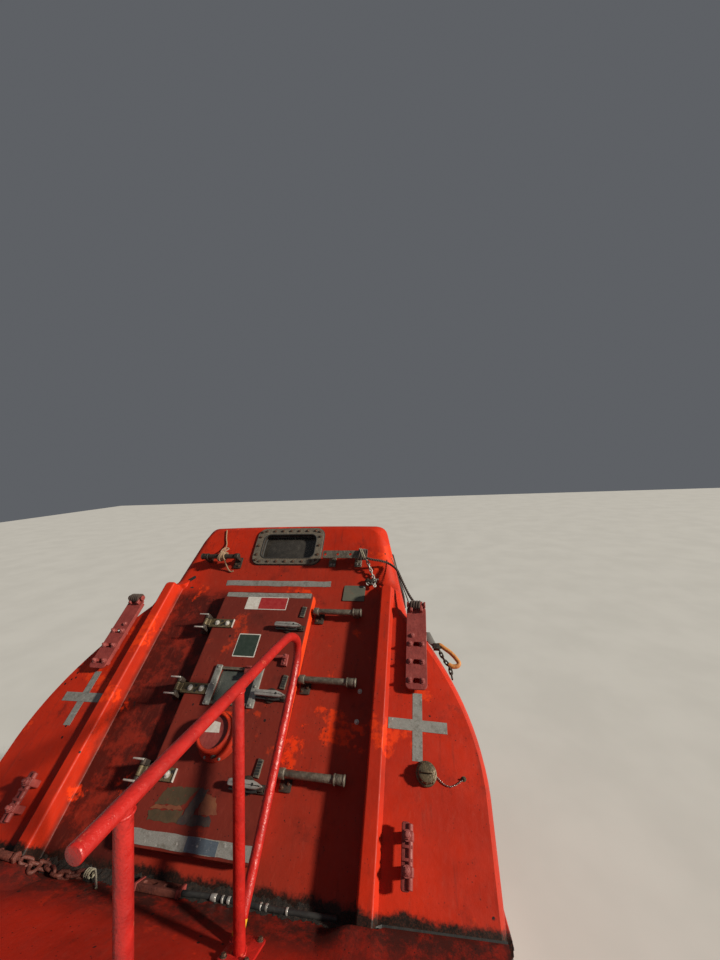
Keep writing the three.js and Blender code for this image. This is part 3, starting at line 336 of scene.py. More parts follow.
# Each plain paint or metal: name, shade, second shade, dirt, scale, roughness, metal, bump, chips
COATS = {
    "rail": ("rail_paint", (0.42, 0.015, 0.011), (0.31, 0.012, 0.01), (0.16, 0.008, 0.007),
             9, (0.26, 0.44), 0.0, 0.8, (0.5, 0.075, 0.045)),
    "rail_foot": ("rail_foot_yellow", (0.62, 0.42, 0.03), (0.6, 0.3, 0.02), (0.55, 0.04, 0.03),
                  20, (0.3, 0.5), 0.0, 0.35),
    "dark_red": ("dark_red_paint", (0.2, 0.03, 0.026), (0.26, 0.045, 0.038), (0.05, 0.014, 0.012),
                 22, (0.45, 0.7), 0.0, 0.3, (0.09, 0.04, 0.03)),
    "stainless": ("stainless_steel", (0.5, 0.49, 0.46), (0.36, 0.35, 0.32), (0.16, 0.12, 0.08),
                  40, (0.22, 0.42), 1.0, 0.12),
    "chrome": ("bright_steel", (0.58, 0.56, 0.52), (0.4, 0.38, 0.36), (0.16, 0.13, 0.1),
               30, (0.18, 0.34), 0.3, 0.1),
    "grey_tube": ("grey_tube_metal", (0.095, 0.08, 0.064), (0.17, 0.148, 0.118), (0.03, 0.022, 0.016),
                  38, (0.4, 0.62), 0.35, 0.5),
    "bronze": ("dull_bronze", (0.135, 0.1, 0.06), (0.085, 0.068, 0.045), (0.03, 0.024, 0.018),
               40, (0.34, 0.55), 0.5, 0.3),
    "strap": ("hinge_strap_metal", (0.14, 0.105, 0.055), (0.085, 0.07, 0.042), (0.03, 0.02, 0.012),
              45, (0.42, 0.62), 0.4, 0.4),
    # Near black metal, also painted shade on the aft window's reveal, the hinge feet and the bases under
    # the dog levers.
    "near_black_and_shade": ("near_black_metal_and_shade", (0.022, 0.016, 0.013), (0.05, 0.034, 0.024), (0.01, 0.008, 0.007),
              50, (0.5, 0.75), 0.3, 0.4),
    "rusty": ("rusty_iron", (0.085, 0.02, 0.014), (0.13, 0.032, 0.02), (0.025, 0.012, 0.009),
              40, (0.5, 0.8), 0.0, 0.5),
    "lever": ("lever_steel", (0.36, 0.345, 0.33), (0.24, 0.23, 0.22), (0.1, 0.085, 0.07),
              26, (0.16, 0.32), 0.35, 0.12),
    # Painted highlight: red bolt paint lighter than the dark red it stands for, as the sun lights the
    # heads.
    "link_bolt": ("red_bolt_painted_highlight", (0.31, 0.085, 0.078), (0.22, 0.042, 0.038), (0.08, 0.022, 0.02),
                  40, (0.35, 0.55), 0.0, 0.3),
    "tan_mark": ("tan_mark", (0.15, 0.045, 0.022), (0.18, 0.06, 0.026), (0.15, 0.02, 0.012),
                 26, (0.55, 0.75), 0.0, 0.15, (0.23, 0.024, 0.014)),
    "dark_mark": ("dark_mark", (0.035, 0.026, 0.026), (0.055, 0.04, 0.034), (0.16, 0.02, 0.012),
                  26, (0.55, 0.75), 0.0, 0.15, (0.2, 0.024, 0.014)),
    "frame": ("grey_frame_paint", (0.115, 0.098, 0.078), (0.165, 0.138, 0.105), (0.055, 0.032, 0.021),
              30, (0.5, 0.75), 0.2, 0.4),
    "bar": ("pale_bar_metal", (0.33, 0.33, 0.31), (0.24, 0.24, 0.22), (0.09, 0.075, 0.055),
            34, (0.35, 0.55), 0.45, 0.3),
    "rubber": ("black_rubber", (0.016, 0.016, 0.017), (0.03, 0.029, 0.028), (0.06, 0.052, 0.045),
               8, (0.6, 0.85), 0.0, 0.3),
    "bolt": ("bolt_metal", (0.06, 0.04, 0.03), (0.16, 0.08, 0.05), (0.02, 0.015, 0.012),
             70, (0.45, 0.7), 0.5, 0.4),
    "olive": ("olive_mark", (0.052, 0.036, 0.018), (0.075, 0.045, 0.022), (0.15, 0.022, 0.013),
              22, (0.55, 0.75), 0.0, 0.15, (0.23, 0.026, 0.015)),
    "plate": ("grey_green_plate", (0.105, 0.105, 0.08), (0.085, 0.09, 0.072), (0.16, 0.06, 0.04),
              14, (0.45, 0.7)),
    "white": ("sign_white", (0.56, 0.55, 0.52), (0.48, 0.44, 0.4), (0.25, 0.18, 0.15),
              40, (0.4, 0.6), 0.0, 0.1),
    "sign_red": ("sign_red", (0.28, 0.014, 0.016), (0.33, 0.028, 0.028), (0.16, 0.014, 0.014),
                 40, (0.4, 0.6), 0.0, 0.1),
    "sign_dark": ("sign_dark", (0.02, 0.034, 0.026), (0.03, 0.045, 0.036), (0.07, 0.07, 0.06),
                  40, (0.35, 0.55), 0.0, 0.1),
    "seat": ("seat_moulding_orange", (0.46, 0.15, 0.05), (0.4, 0.12, 0.04), (0.22, 0.07, 0.03),
             5, (0.45, 0.7)),
    "engine": ("engine_green", (0.08, 0.14, 0.1), (0.06, 0.11, 0.08), (0.03, 0.03, 0.025),
               9, (0.4, 0.6)),
    "slide": ("slide_strip_plastic", (0.03, 0.034, 0.038), (0.05, 0.052, 0.052), (0.1, 0.09, 0.08),
              6, (0.45, 0.7)),
    "panel": ("console_grey", (0.2, 0.2, 0.19), (0.16, 0.16, 0.155), (0.08, 0.07, 0.06), 10, (0.4, 0.6)),
    "strop": ("ochre_hose", (0.55, 0.24, 0.06), (0.42, 0.15, 0.04), (0.12, 0.05, 0.02),
              30, (0.5, 0.7), 0.0, 0.4),
    # Black for trim, sealant, hose and joint, and as painted shade in holes, slots and under the dog
    # levers.
    "black": ("black_trim_and_hole_shade", (0.012, 0.012, 0.013), (0.02, 0.02, 0.02), (0.04, 0.035, 0.03),
              20, (0.5, 0.8)),
    "belt": ("webbing_blue", (0.03, 0.05, 0.16), (0.04, 0.07, 0.22), (0.02, 0.02, 0.03),
             60, (0.7, 0.9), 0.0, 0.5),
    "lamp": ("lamp_dome", (0.62, 0.62, 0.58), (0.55, 0.54, 0.5), (0.4, 0.38, 0.34), 20, (0.12, 0.25)),
}
PAINT = {
    "canopy": gelcoat("canopy_paint", STERN, (0.49, 0.023, 0.005), (0.35, 0.018, 0.006),
                      (0.68, 0.042, 0.005), 0.9, dirt_line=0.055, dull=(0.26, 0.024, 0.012)),
    "door": gelcoat("door_paint", STERN, (0.17, 0.021, 0.013), (0.128, 0.019, 0.013),
                    (0.6, 0.045, 0.008), 0.5, lit_side_from=0.311),
    "hull": gelcoat("hull_paint", BOAT, (0.5, 0.026, 0.01), (0.38, 0.024, 0.011), (0.6, 0.032, 0.008),
                    0.6),
    "deck": gelcoat("deck_paint", BOAT, (0.4, 0.018, 0.007), (0.26, 0.014, 0.007), (0.56, 0.027, 0.007),
                    0.8, darker_from=(-0.34, -0.12)),
    **{key: plain_paint(*row) for key, row in COATS.items()},
    "ramp": rusty_ramp("ramp_paint"),
    "tape": tape_face("reflective_tape", (0.36, 0.36, 0.34), (0.1, 0.085, 0.065)),
    "tape_blue": tape_face("reflective_tape_blue", (0.13, 0.17, 0.22), (0.06, 0.07, 0.085)),
    "glass": glass_face("window_glass", (0.038, 0.034, 0.03), (0.11, 0.1, 0.088)),
    "door_glass": glass_face("door_glass", (0.07, 0.08, 0.072), (0.17, 0.175, 0.16)),
    "rope_tan": fibre("rope_tan", (0.33, 0.22, 0.13), (0.15, 0.09, 0.05), 260),
    "rope_dark": fibre("rope_dark", (0.062, 0.034, 0.024), (0.018, 0.011, 0.009), 200),
    "rope_pale": fibre("rope_pale", (0.3, 0.27, 0.19), (0.13, 0.11, 0.08), 200),
    "dirt": crust("seam_dirt", (0.008, 0.006, 0.005), (0.05, 0.026, 0.017)),
}


# Meshes
def link(obj):
    bpy.context.scene.collection.objects.link(obj)
    return obj


def baked(obj):
    """Applies what modifiers obj carries."""
    mesh = bpy.data.meshes.new_from_object(
        obj.evaluated_get(bpy.context.evaluated_depsgraph_get()))
    obj.modifiers.clear()
    obj.data = mesh
    return obj


def shade(obj, angle=32):
    """Smooth faces, with an edge kept sharp where its faces turn by more than the angle."""
    bm = bmesh.new()
    bm.from_mesh(obj.data)
    limit = math.radians(angle)
    for face in bm.faces:
        face.smooth = True
    for edge in bm.edges:
        edge.smooth = len(edge.link_faces) == 2 and edge.calc_face_angle(0) < limit
    bm.to_mesh(obj.data)
    bm.free()
    return obj


def basis_along(start, end):
    along = (end - start).normalized()
    side = Vector((0, 1, 0)) if abs(along.x) > 0.9 else Vector((1, 0, 0))
    third = side.cross(along).normalized()
    return along, along.cross(third).normalized(), third


def arc(cx, cy, radius, start, end, steps):
    angles = [math.radians(start + (end - start) * i / steps) for i in range(steps + 1)]
    return [(cx + radius * math.cos(angle), cy + radius * math.sin(angle)) for angle in angles]


def circle(radius, count, start=0.0):
    """Points round a circle, counterclockwise from an angle in degrees."""
    return arc(0, 0, radius, start, start + 360, count)[:-1]


def rounded(x0, x1, y0, y1, radius, steps=6):
    """Corners of a rounded rectangle, counterclockwise from its lower right one."""
    return (arc(x1 - radius, y0 + radius, radius, -90, 0, steps)
            + arc(x1 - radius, y1 - radius, radius, 0, 90, steps)
            + arc(x0 + radius, y1 - radius, radius, 90, 180, steps)
            + arc(x0 + radius, y0 + radius, radius, 180, 270, steps))


def rectangle(x0, x1, y0, y1):
    return [(x0, y0), (x1, y0), (x1, y1), (x0, y1)]


def turned(x, y, z):
    """A frame whose z axis points along a given axis, for lathes and prisms."""
    axis = Vector((x, y, z)).normalized()
    return Vector((0, 0, 1)).rotation_difference(axis).to_matrix().to_4x4()


class Piece:
    """Closed parts gathered in one frame, which become one object."""

    def __init__(self, place):
        self.place = place
        self.verts = []
        self.faces = []

    def add(self, verts, faces, at=None):
        base = len(self.verts)
        self.verts += [at @ Vector(v) if at else Vector(v) for v in verts]
        self.faces += [tuple(base + i for i in face) for face in faces]
        return self

    def box(self, x0, x1, y0, y1, z0, z1, at=None):
        corners = [(x, y, z) for z in (z0, z1) for y in (y0, y1) for x in (x0, x1)]
        faces = [(0, 2, 3, 1), (4, 5, 7, 6), (0, 1, 5, 4), (2, 6, 7, 3), (0, 4, 6, 2), (1, 3, 7, 5)]
        return self.add(corners, faces, at)

    def skin(self, rings, at=None, closed=False):
        """A skin through rings of equal point counts, with flat ends unless it closes."""
        count = len(rings[0])
        verts = [point for ring in rings for point in ring]
        faces = []
        for k in range(len(rings) if closed else len(rings) - 1):
            a, b = k * count, ((k + 1) % len(rings)) * count
            for i in range(count):
                j = (i + 1) % count
                faces.append((a + i, a + j, b + j, b + i))
        if not closed:
            last = (len(rings) - 1) * count
            faces.append(tuple(range(count - 1, -1, -1)))
            faces.append(tuple(range(last, last + count)))
        return self.add(verts, faces, at)

    def prism(self, outline, z0, z1, at=None, ease=0.0):
        """An outline in x and y between two heights, its edges eased by shrinking both ends."""
        if ease:
            levels = [(z0, ease), (z0 + ease * 0.3, ease * 0.3), (z0 + ease, 0), (z1 - ease, 0),
                      (z1 - ease * 0.3, ease * 0.3), (z1, ease)]
        else:
            levels = [(z0, 0), (z1, 0)]
        return self.skin([[(x, y, z) for x, y in inset_outline(outline, amount)]
                          for z, amount in levels], at)

    def slab(self, x0, x1, y0, y1, radius, z0, z1, at=None, ease=0.0, steps=6):
        """A plate with rounded corners."""
        return self.prism(rounded(x0, x1, y0, y1, radius, steps), z0, z1, at, ease)

    def bead(self, outline, height, radius, steps=8):
        """A round bead laid along an outline at a height."""
        return self.tube([(x, y, height) for x, y in outline], radius, steps, closed=True)

    def lathe(self, profile, at=None, steps=24):
        """A profile of (radius, height) turned round z; its ends lie on the axis."""
        return self.skin([[(x, y, z) for x, y in circle(r, steps)] for r, z in profile], at)

    def ring(self, profile, at=None, steps=32):
        """A closed profile of (radius, height) turned round z."""
        rings = [[(r * x, r * y, z) for r, z in profile] for x, y in circle(1, steps)]
        return self.skin(rings, at, closed=True)

    def rod(self, start, end, radius, steps=14, ease=0.0, at=None):
        start, end = Vector(start), Vector(end)
        along, side, third = basis_along(start, end)
        length = (end - start).length
        stops = [(0, radius), (length, radius)]
        if ease:
            stops = [(0, radius - ease), (ease * 0.3, radius - ease * 0.3), (ease, radius),
                     (length - ease, radius), (length - ease * 0.3, radius - ease * 0.3),
                     (length, radius - ease)]
        return self.skin([[start + along * d + side * x + third * y for x, y in circle(r, steps)]
                          for d, r in stops], at)

    def tube(self, points, radius, steps=12, closed=False, strands=0, lay=0.06):
        """A tube through points. With strands it is a laid rope, each strand winding round."""
        points = [Vector(p) for p in points]
        count = len(points)
        tangents = []
        for i in range(count):
            a = points[(i - 1) % count] if closed or i else points[0]
            b = points[(i + 1) % count] if closed or i < count - 1 else points[-1]
            tangents.append((b - a).normalized())
        _, side, _ = basis_along(points[0], points[0] + tangents[0])
        sides = []
        for tangent in tangents:
            side = (side - tangent * side.dot(tangent)).normalized()
            sides.append(side)
        if not strands:
            rings = [[p + s * x + t.cross(s) * y for x, y in circle(radius, steps)]
                     for p, t, s in zip(points, tangents, sides)]
            return self.skin(rings, closed=closed)
        travelled = [0.0]
        for a, b in zip(points, points[1:]):
            travelled.append(travelled[-1] + (b - a).length)
        for k in range(strands):
            rings = []
            for p, t, s, d in zip(points, tangents, sides, travelled):
                turn = 2 * math.pi * (d / lay + k / strands)
                out = s * math.cos(turn) + t.cross(s) * math.sin(turn)
                centre = p + out * radius * 0.5
                rings.append([centre + s * x + t.cross(s) * y for x, y in circle(radius * 0.56, steps)])
            self.skin(rings)
        return self

    def hoop(self, centre, right, up, wire, steps, count=20):
        """A closed ring of wire or rope, given its centre and two half axes."""
        centre, right, up = Vector(centre), Vector(right), Vector(up)
        return self.tube([centre + right * x + up * y for x, y in circle(1, count)], wire, steps, True)

    def bolt(self, x, y, z, radius, height, at=WORLD, washer=True):
        """A hexagon head on a washer, standing up z from the point, turned as its place has it."""
        place = at @ Matrix.Translation((x, y, z))
        if washer:
            self.rod((0, 0, 0), (0, 0, height * 0.3), radius * 1.35, 14, at=place)
        turn = math.degrees(2.4 * (x * 37.1 + y * 91.7))
        return self.skin([[(a, b, h) for a, b in circle(r, 6, turn)]
                          for h, r in ((height * 0.2, radius), (height * 0.85, radius),
                                       (height, radius * 0.82))], place)

    def make(self, name, body, paint, angle=32, bevel=0.0, replaces=()):
        mesh = bpy.data.meshes.new(name)
        mesh.from_pydata([tuple(self.place @ v) for v in self.verts], [], self.faces)
        obj = link(bpy.data.objects.new(name, mesh))
        bm = bmesh.new()
        bm.from_mesh(mesh)
        bmesh.ops.recalc_face_normals(bm, faces=bm.faces)
        bm.to_mesh(mesh)
        bm.free()
        if bevel:
            modifier = obj.modifiers.new("bevel", "BEVEL")
            modifier.width = bevel
            modifier.segments = 2
            modifier.limit_method = "ANGLE"
            modifier.angle_limit = math.radians(34)
            baked(obj)
        return dress(obj, body, paint, angle, replaces)


def dress(obj, body, paint, angle=32, replaces=()):
    shade(obj, angle)
    obj.data.materials.clear()
    obj.data.materials.append(PAINT[paint])
    for face in obj.data.polygons:
        face.material_index = 0
    if replaces:
        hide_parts(*replaces)
    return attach(obj, body)


def inset_outline(outline, amount):
    """A counterclockwise outline moved inwards by an amount, point by point."""
    if not amount:
        return outline
    count = len(outline)
    moved = []
    for i in range(count):
        before = Vector(outline[i - 1])
        here = Vector(outline[i])
        after = Vector(outline[(i + 1) % count])
        first = here - before
        second = after - here
        if first.length < 1e-7:
            first = second
        if second.length < 1e-7:
            second = first
        first.normalize()
        second.normalize()
        inward = Vector((-first.y, first.x)) + Vector((-second.y, second.x))
        inward.normalize()
        spread = max(0.5, inward.dot(Vector((-first.y, first.x))))
        moved.append(tuple(here + inward * (amount / spread)))
    return moved


def solid(piece, name="tool"):
    """A bare object from a piece, to cut with or join."""
    mesh = bpy.data.meshes.new(name)
    mesh.from_pydata([tuple(piece.place @ v) for v in piece.verts], [], piece.faces)
    bm = bmesh.new()
    bm.from_mesh(mesh)
    bmesh.ops.triangulate(bm, faces=[f for f in bm.faces if len(f.verts) > 4])
    bmesh.ops.recalc_face_normals(bm, faces=bm.faces)
    bm.to_mesh(mesh)
    bm.free()
    return link(bpy.data.objects.new(name, mesh))


def combine(obj, tools, kind):
    """Joins or cuts obj with tool objects, which are then removed."""
    for tool in tools:
        modifier = obj.modifiers.new(kind, "BOOLEAN")
        modifier.operation = kind
        modifier.solver = "MANIFOLD"
        modifier.object = tool
        baked(obj)
        bpy.data.objects.remove(tool)
    return obj


# The hull's and the canopy's lines, as the solids have them: y, then the columns named below
HULL_LINES = (
    (-1.0, 1.235, 0.64, 2.3), (-0.5, 1.32, 0.455, 2.4), (0.0, 1.358, 0.24, 2.5),
    (0.7, 1.36, 0.07, 2.6), (1.4, 1.36, 0.0, 2.6), (2.9, 1.335, 0.0, 2.4),
    (3.8, 1.225, 0.04, 2.1), (4.5, 1.035, 0.15, 1.8), (5.1, 0.76, 0.36, 1.6),
    (5.55, 0.47, 0.64, 1.45), (5.8, 0.235, 0.9, 1.35), (5.9, 0.09, 1.09, 1.3))
CANOPY_LINES = (
    (0.0, 69.4, 0.45, 0.95, 1.33, 0.77, 2.085), (0.6, 74, 0.44, 0.93, 1.31, 0.745, 2.015),
    (1.2, 82, 0.43, 0.91, 1.27, 0.73, 1.94), (1.75, 88, 0.42, 0.895, 1.24, 0.715, 1.89),
    (1.9, 90, 0.42, 0.89, 1.23, 0.705, 1.875), (2.35, 90, 0.38, 0.86, 1.13, 0.62, 1.3),
    (2.9, 90, 0.34, 0.83, 1.04, 0.54, 1.215), (3.8, 90, 0.27, 0.7, 0.85, 0.44, 1.04),
    (4.5, 90, 0.2, 0.56, 0.66, 0.33, 0.85), (5.1, 90, 0.14, 0.39, 0.47, 0.22, 0.64),
    (5.55, 90, 0.095, 0.23, 0.3, 0.13, 0.44), (5.8, 90, 0.065, 0.11, 0.17, 0.06, 0.27),
    (5.9, 90, 0.045, 0.04, 0.09, 0.02, 0.15))
HALF_BEAM, KEEL, FULLNESS = 1, 2, 3
TILT, WALL, FOOT_HALF, FOOT_HEIGHT, ROOF_HALF, ROOF_HEIGHT = 1, 2, 3, 4, 5, 6
ROOF_CORNER, ROOF_CROWN = 0.055, 0.0095
BOW = 5.9
SHELL = 0.045
PANEL = 0.081
SLOPE = 0.079
RIDGE_IN, RIDGE_TOP = 0.785, 0.115
WINDSCREEN = (1.9, 2.35)


def sample(rows, column, y):
    """A smooth value from a table's column, without overshoot between its rows."""
    if y <= rows[0][0]:
        return rows[0][column]
    if y >= rows[-1][0]:
        return rows[-1][column]
    i = next(k for k in range(len(rows) - 1) if rows[k + 1][0] >= y)

    def slope(k):
        return (rows[k + 1][column] - rows[k][column]) / (rows[k + 1][0] - rows[k][0])

    def tangent(k):
        if k == 0 or k == len(rows) - 1:
            return slope(min(k, len(rows) - 2))
        before, after = slope(k - 1), slope(k)
        return 0 if before * after <= 0 else 2 * before * after / (before + after)

    span = rows[i + 1][0] - rows[i][0]
    t = (y - rows[i][0]) / span
    return ((2 * t**3 - 3 * t**2 + 1) * rows[i][column] + (t**3 - 2 * t**2 + t) * span * tangent(i)
            + (3 * t**2 - 2 * t**3) * rows[i + 1][column] + (t**3 - t**2) * span * tangent(i + 1))


def half_beam(y):
    return sample(HULL_LINES, HALF_BEAM, y)


def sheer(y):
    reach = max(0, (y - 3.0) / (BOW - 3.0))
    return DECK + 0.13 * reach * reach


def canopy_line(column, y):
    """A line of the canopy, straight down the windscreen and rounded over its two ends."""
    def value(at):
        start, end = WINDSCREEN
        if start < at < end:
            share = (at - start) / (end - start)
            return ((1 - share) * sample(CANOPY_LINES, column, start)
                    + share * sample(CANOPY_LINES, column, end))
        return sample(CANOPY_LINES, column, at)

    if all(abs(y - end) > 0.05 for end in WINDSCREEN):
        return value(y)
    return sum(value(y + shift) for shift in (-0.04, -0.02, 0, 0.02, 0.04)) / 5


def curve_through(start, control, end, steps, first=0):
    return [tuple((1 - t) ** 2 * start[i] + 2 * t * (1 - t) * control[i] + t * t * end[i]
                  for i in (0, 1)) for t in (k / steps for k in range(first, steps + 1))]


def mirrored(half):
    return half + [(-x, z) for x, z in reversed(half) if x > 0.0001]


def canopy_outline(y, inset, fine):
    half = half_beam(y) - inset
    wall = canopy_line(WALL, y)
    foot = (max(canopy_line(FOOT_HALF, y) - inset * 0.8, 0.008),
            canopy_line(FOOT_HEIGHT, y) - inset * 0.6)
    roof = (max(canopy_line(ROOF_HALF, y) - inset, 0.004), canopy_line(ROOF_HEIGHT, y) - inset)
    bulge = (half - 0.015 * min(1, half), wall + 0.45 * (foot[1] - wall))
    outline = [(half, -0.15), (half, 0.0), (half, wall * 0.5)]
    outline += curve_through((half, wall), bulge, foot, 16 if fine else 5)
    side = math.dist(roof, foot)
    radius = min(ROOF_CORNER, roof[0] * 0.4, side * 0.4)
    start = (roof[0] - (roof[0] - foot[0]) / side * radius,
             roof[1] - (roof[1] - foot[1]) / side * radius)
    outline += curve_through(start, roof, (roof[0] - radius, roof[1]), 8 if fine else 3)
    crown = ROOF_CROWN * min(1, roof[0] / 0.3)
    outline += [(roof[0] * share, roof[1] + crown * (1 - share * share))
                for share in ((0.7, 0.45, 0.2, 0) if fine else (0.45, 0))]
    return mirrored(outline)


def canopy_ring(y, inset=0.0, out=0.0, fine=True):
    tilt = math.radians(sample(CANOPY_LINES, TILT, y))
    c, s = math.cos(tilt), math.sin(tilt)
    return [(x, y + up * c - out * s, sheer(y) + up * s + out * c)
            for x, up in canopy_outline(y, inset, fine)]


def hull_ring(y, grow=0.0, fine=True, open_top=False):
    edge = 0.02
    half = half_beam(y) + grow
    keel = sample(HULL_LINES, KEEL, y) - grow
    power = 2 / sample(HULL_LINES, FULLNESS, y)
    steps = 26 if fine else 9
    depth = sheer(y) - edge - keel
    outline = []
    for i in range(steps + 1):
        turn = i / steps * math.pi / 2
        outline.append((half * math.sin(turn) ** power,
                        keel + depth * (1 - max(0, math.cos(turn)) ** power)))
    outline[0] = (0.0, outline[0][1])
    if open_top:
        outline.append((half, sheer(y) + 0.2))
    else:
        outline += arc(half - edge, sheer(y) - edge, edge, 15, 90, 5)
        outline.append((0.0, sheer(y)))
    port = [(-x, z) for x, z in reversed(outline) if x > 0.0001]
    return [(x, y, z) for x, z in outline + port]


def spaced(start, end, step):
    count = max(1, round((end - start) / step))
    return [start + (end - start) * i / count for i in range(count + 1)]


def panel_out(x):
    """Height of the bulkhead's outer face above its recessed panel."""
    return PANEL - SLOPE * max(0, abs(x) - RIDGE_IN)


def on_panel(x, s):
    """A frame on the bulkhead's outer face, its z axis out of that face."""
    tilt = math.copysign(math.atan(SLOPE), x) if abs(x) > RIDGE_IN else 0
    return Matrix.Translation((x, s, panel_out(x))) @ Matrix.Rotation(tilt, 4, "Y")


def eased(share):
    """A share from nought to one that starts and ends gently."""
    share = min(1, max(0, share))
    return share * share * (3 - 2 * share)


def filleted(corners, radius, steps=5):
    """A closed outline with its corners rounded."""
    outline = []
    for i, corner in enumerate(corners):
        here = Vector(corner)
        before = (Vector(corners[i - 1]) - here).normalized()
        after = (Vector(corners[(i + 1) % len(corners)]) - here).normalized()
        outline += curve_through(here + before * radius, here, here + after * radius, steps)
    return outline


# Windows: centre, half size, directions across and up
SCREEN_UP = Vector((0, -0.45, 0.575)).normalized()
WINDOWS = {}
for side, name in SIDES:
    WINDOWS[f"windscreen_{name}"] = ((side * 0.31, 2.125, 2.787), (0.25, 0.18), Vector((-1, 0, 0)),
                                     SCREEN_UP)
    WINDOWS[f"cupola_{name}"] = ((side * 0.825, 1.25, 2.81), (0.33, 0.17),
                                 Vector((-0.054, side, 0)).normalized(),
                                 Vector((-side * 0.26, -0.014, 0.965)).normalized())
# The aft window's heights are measured up the band, from its foot
AFT_GLASS = (-0.215, 0.237, 0.238, 0.456, 0.05)
AFT_FRAME = (-0.277, 0.288, 0.191, 0.512, 0.07)
DOOR = (-0.355, 0.318, 0.1, 1.43)
DOOR_LIGHT = (-0.165, 0.075, 0.715, 0.892)
HATCH_HALF, HATCH_AFT, HATCH_FORE, COAMING_TOP = 0.29, 1.13, 1.69, 3.165
HINGE_AT, HINGE_HEIGHT, HINGE_REACH = 1.75, 3.181, 0.16


def window_place(name):
    centre, size, across, up = WINDOWS[name]
    place = Matrix((across, up, across.cross(up))).transposed().to_4x4()
    place.translation = Vector(centre)
    return BOAT @ place, size


def soften(obj):
    """Keeps broad faces flat in the shading, beside the narrow ones that booleans leave."""
    modifier = obj.modifiers.new("weighted", "WEIGHTED_NORMAL")
    modifier.keep_sharp = True
    modifier.weight = 90
    return baked(obj)


def shoulder_cut():
    """What lies over the band: it dips from the outer face's level and rounds into both sides."""
    edge, high = 0.1, 0.0945
    dip_from, dip_to = 1.43, 1.56
    foot, roof = CANOPY_LINES[0][3:5], CANOPY_LINES[0][5:7]
    lean = (roof[0] - foot[0]) / (roof[1] - foot[1])
    rings = []
    for s in spaced(1.4, 2.3, 0.02):
        share = eased((s - dip_from) / (dip_to - dip_from))
        base = high * (1 - share) + share * BAND_RISE * (s - BAND_FOOT)
        side = foot[0] + lean * (s - foot[1])
        half = [(0, base)] + [(side - edge + edge * math.sin(a), base - edge * (1 - math.cos(a)))
                              for a in (math.radians(10 * k) for k in range(10))]
        half += [(side + 0.04, base - edge - 0.12), (1.25, base - edge - 0.16)]
        rings.append([(x, s, n) for x, n in [(-x, n) for x, n in reversed(half[1:])] + half]
                     + [(1.25, s, 0.4), (-1.25, s, 0.4)])
    return solid(Piece(STERN).skin(rings))


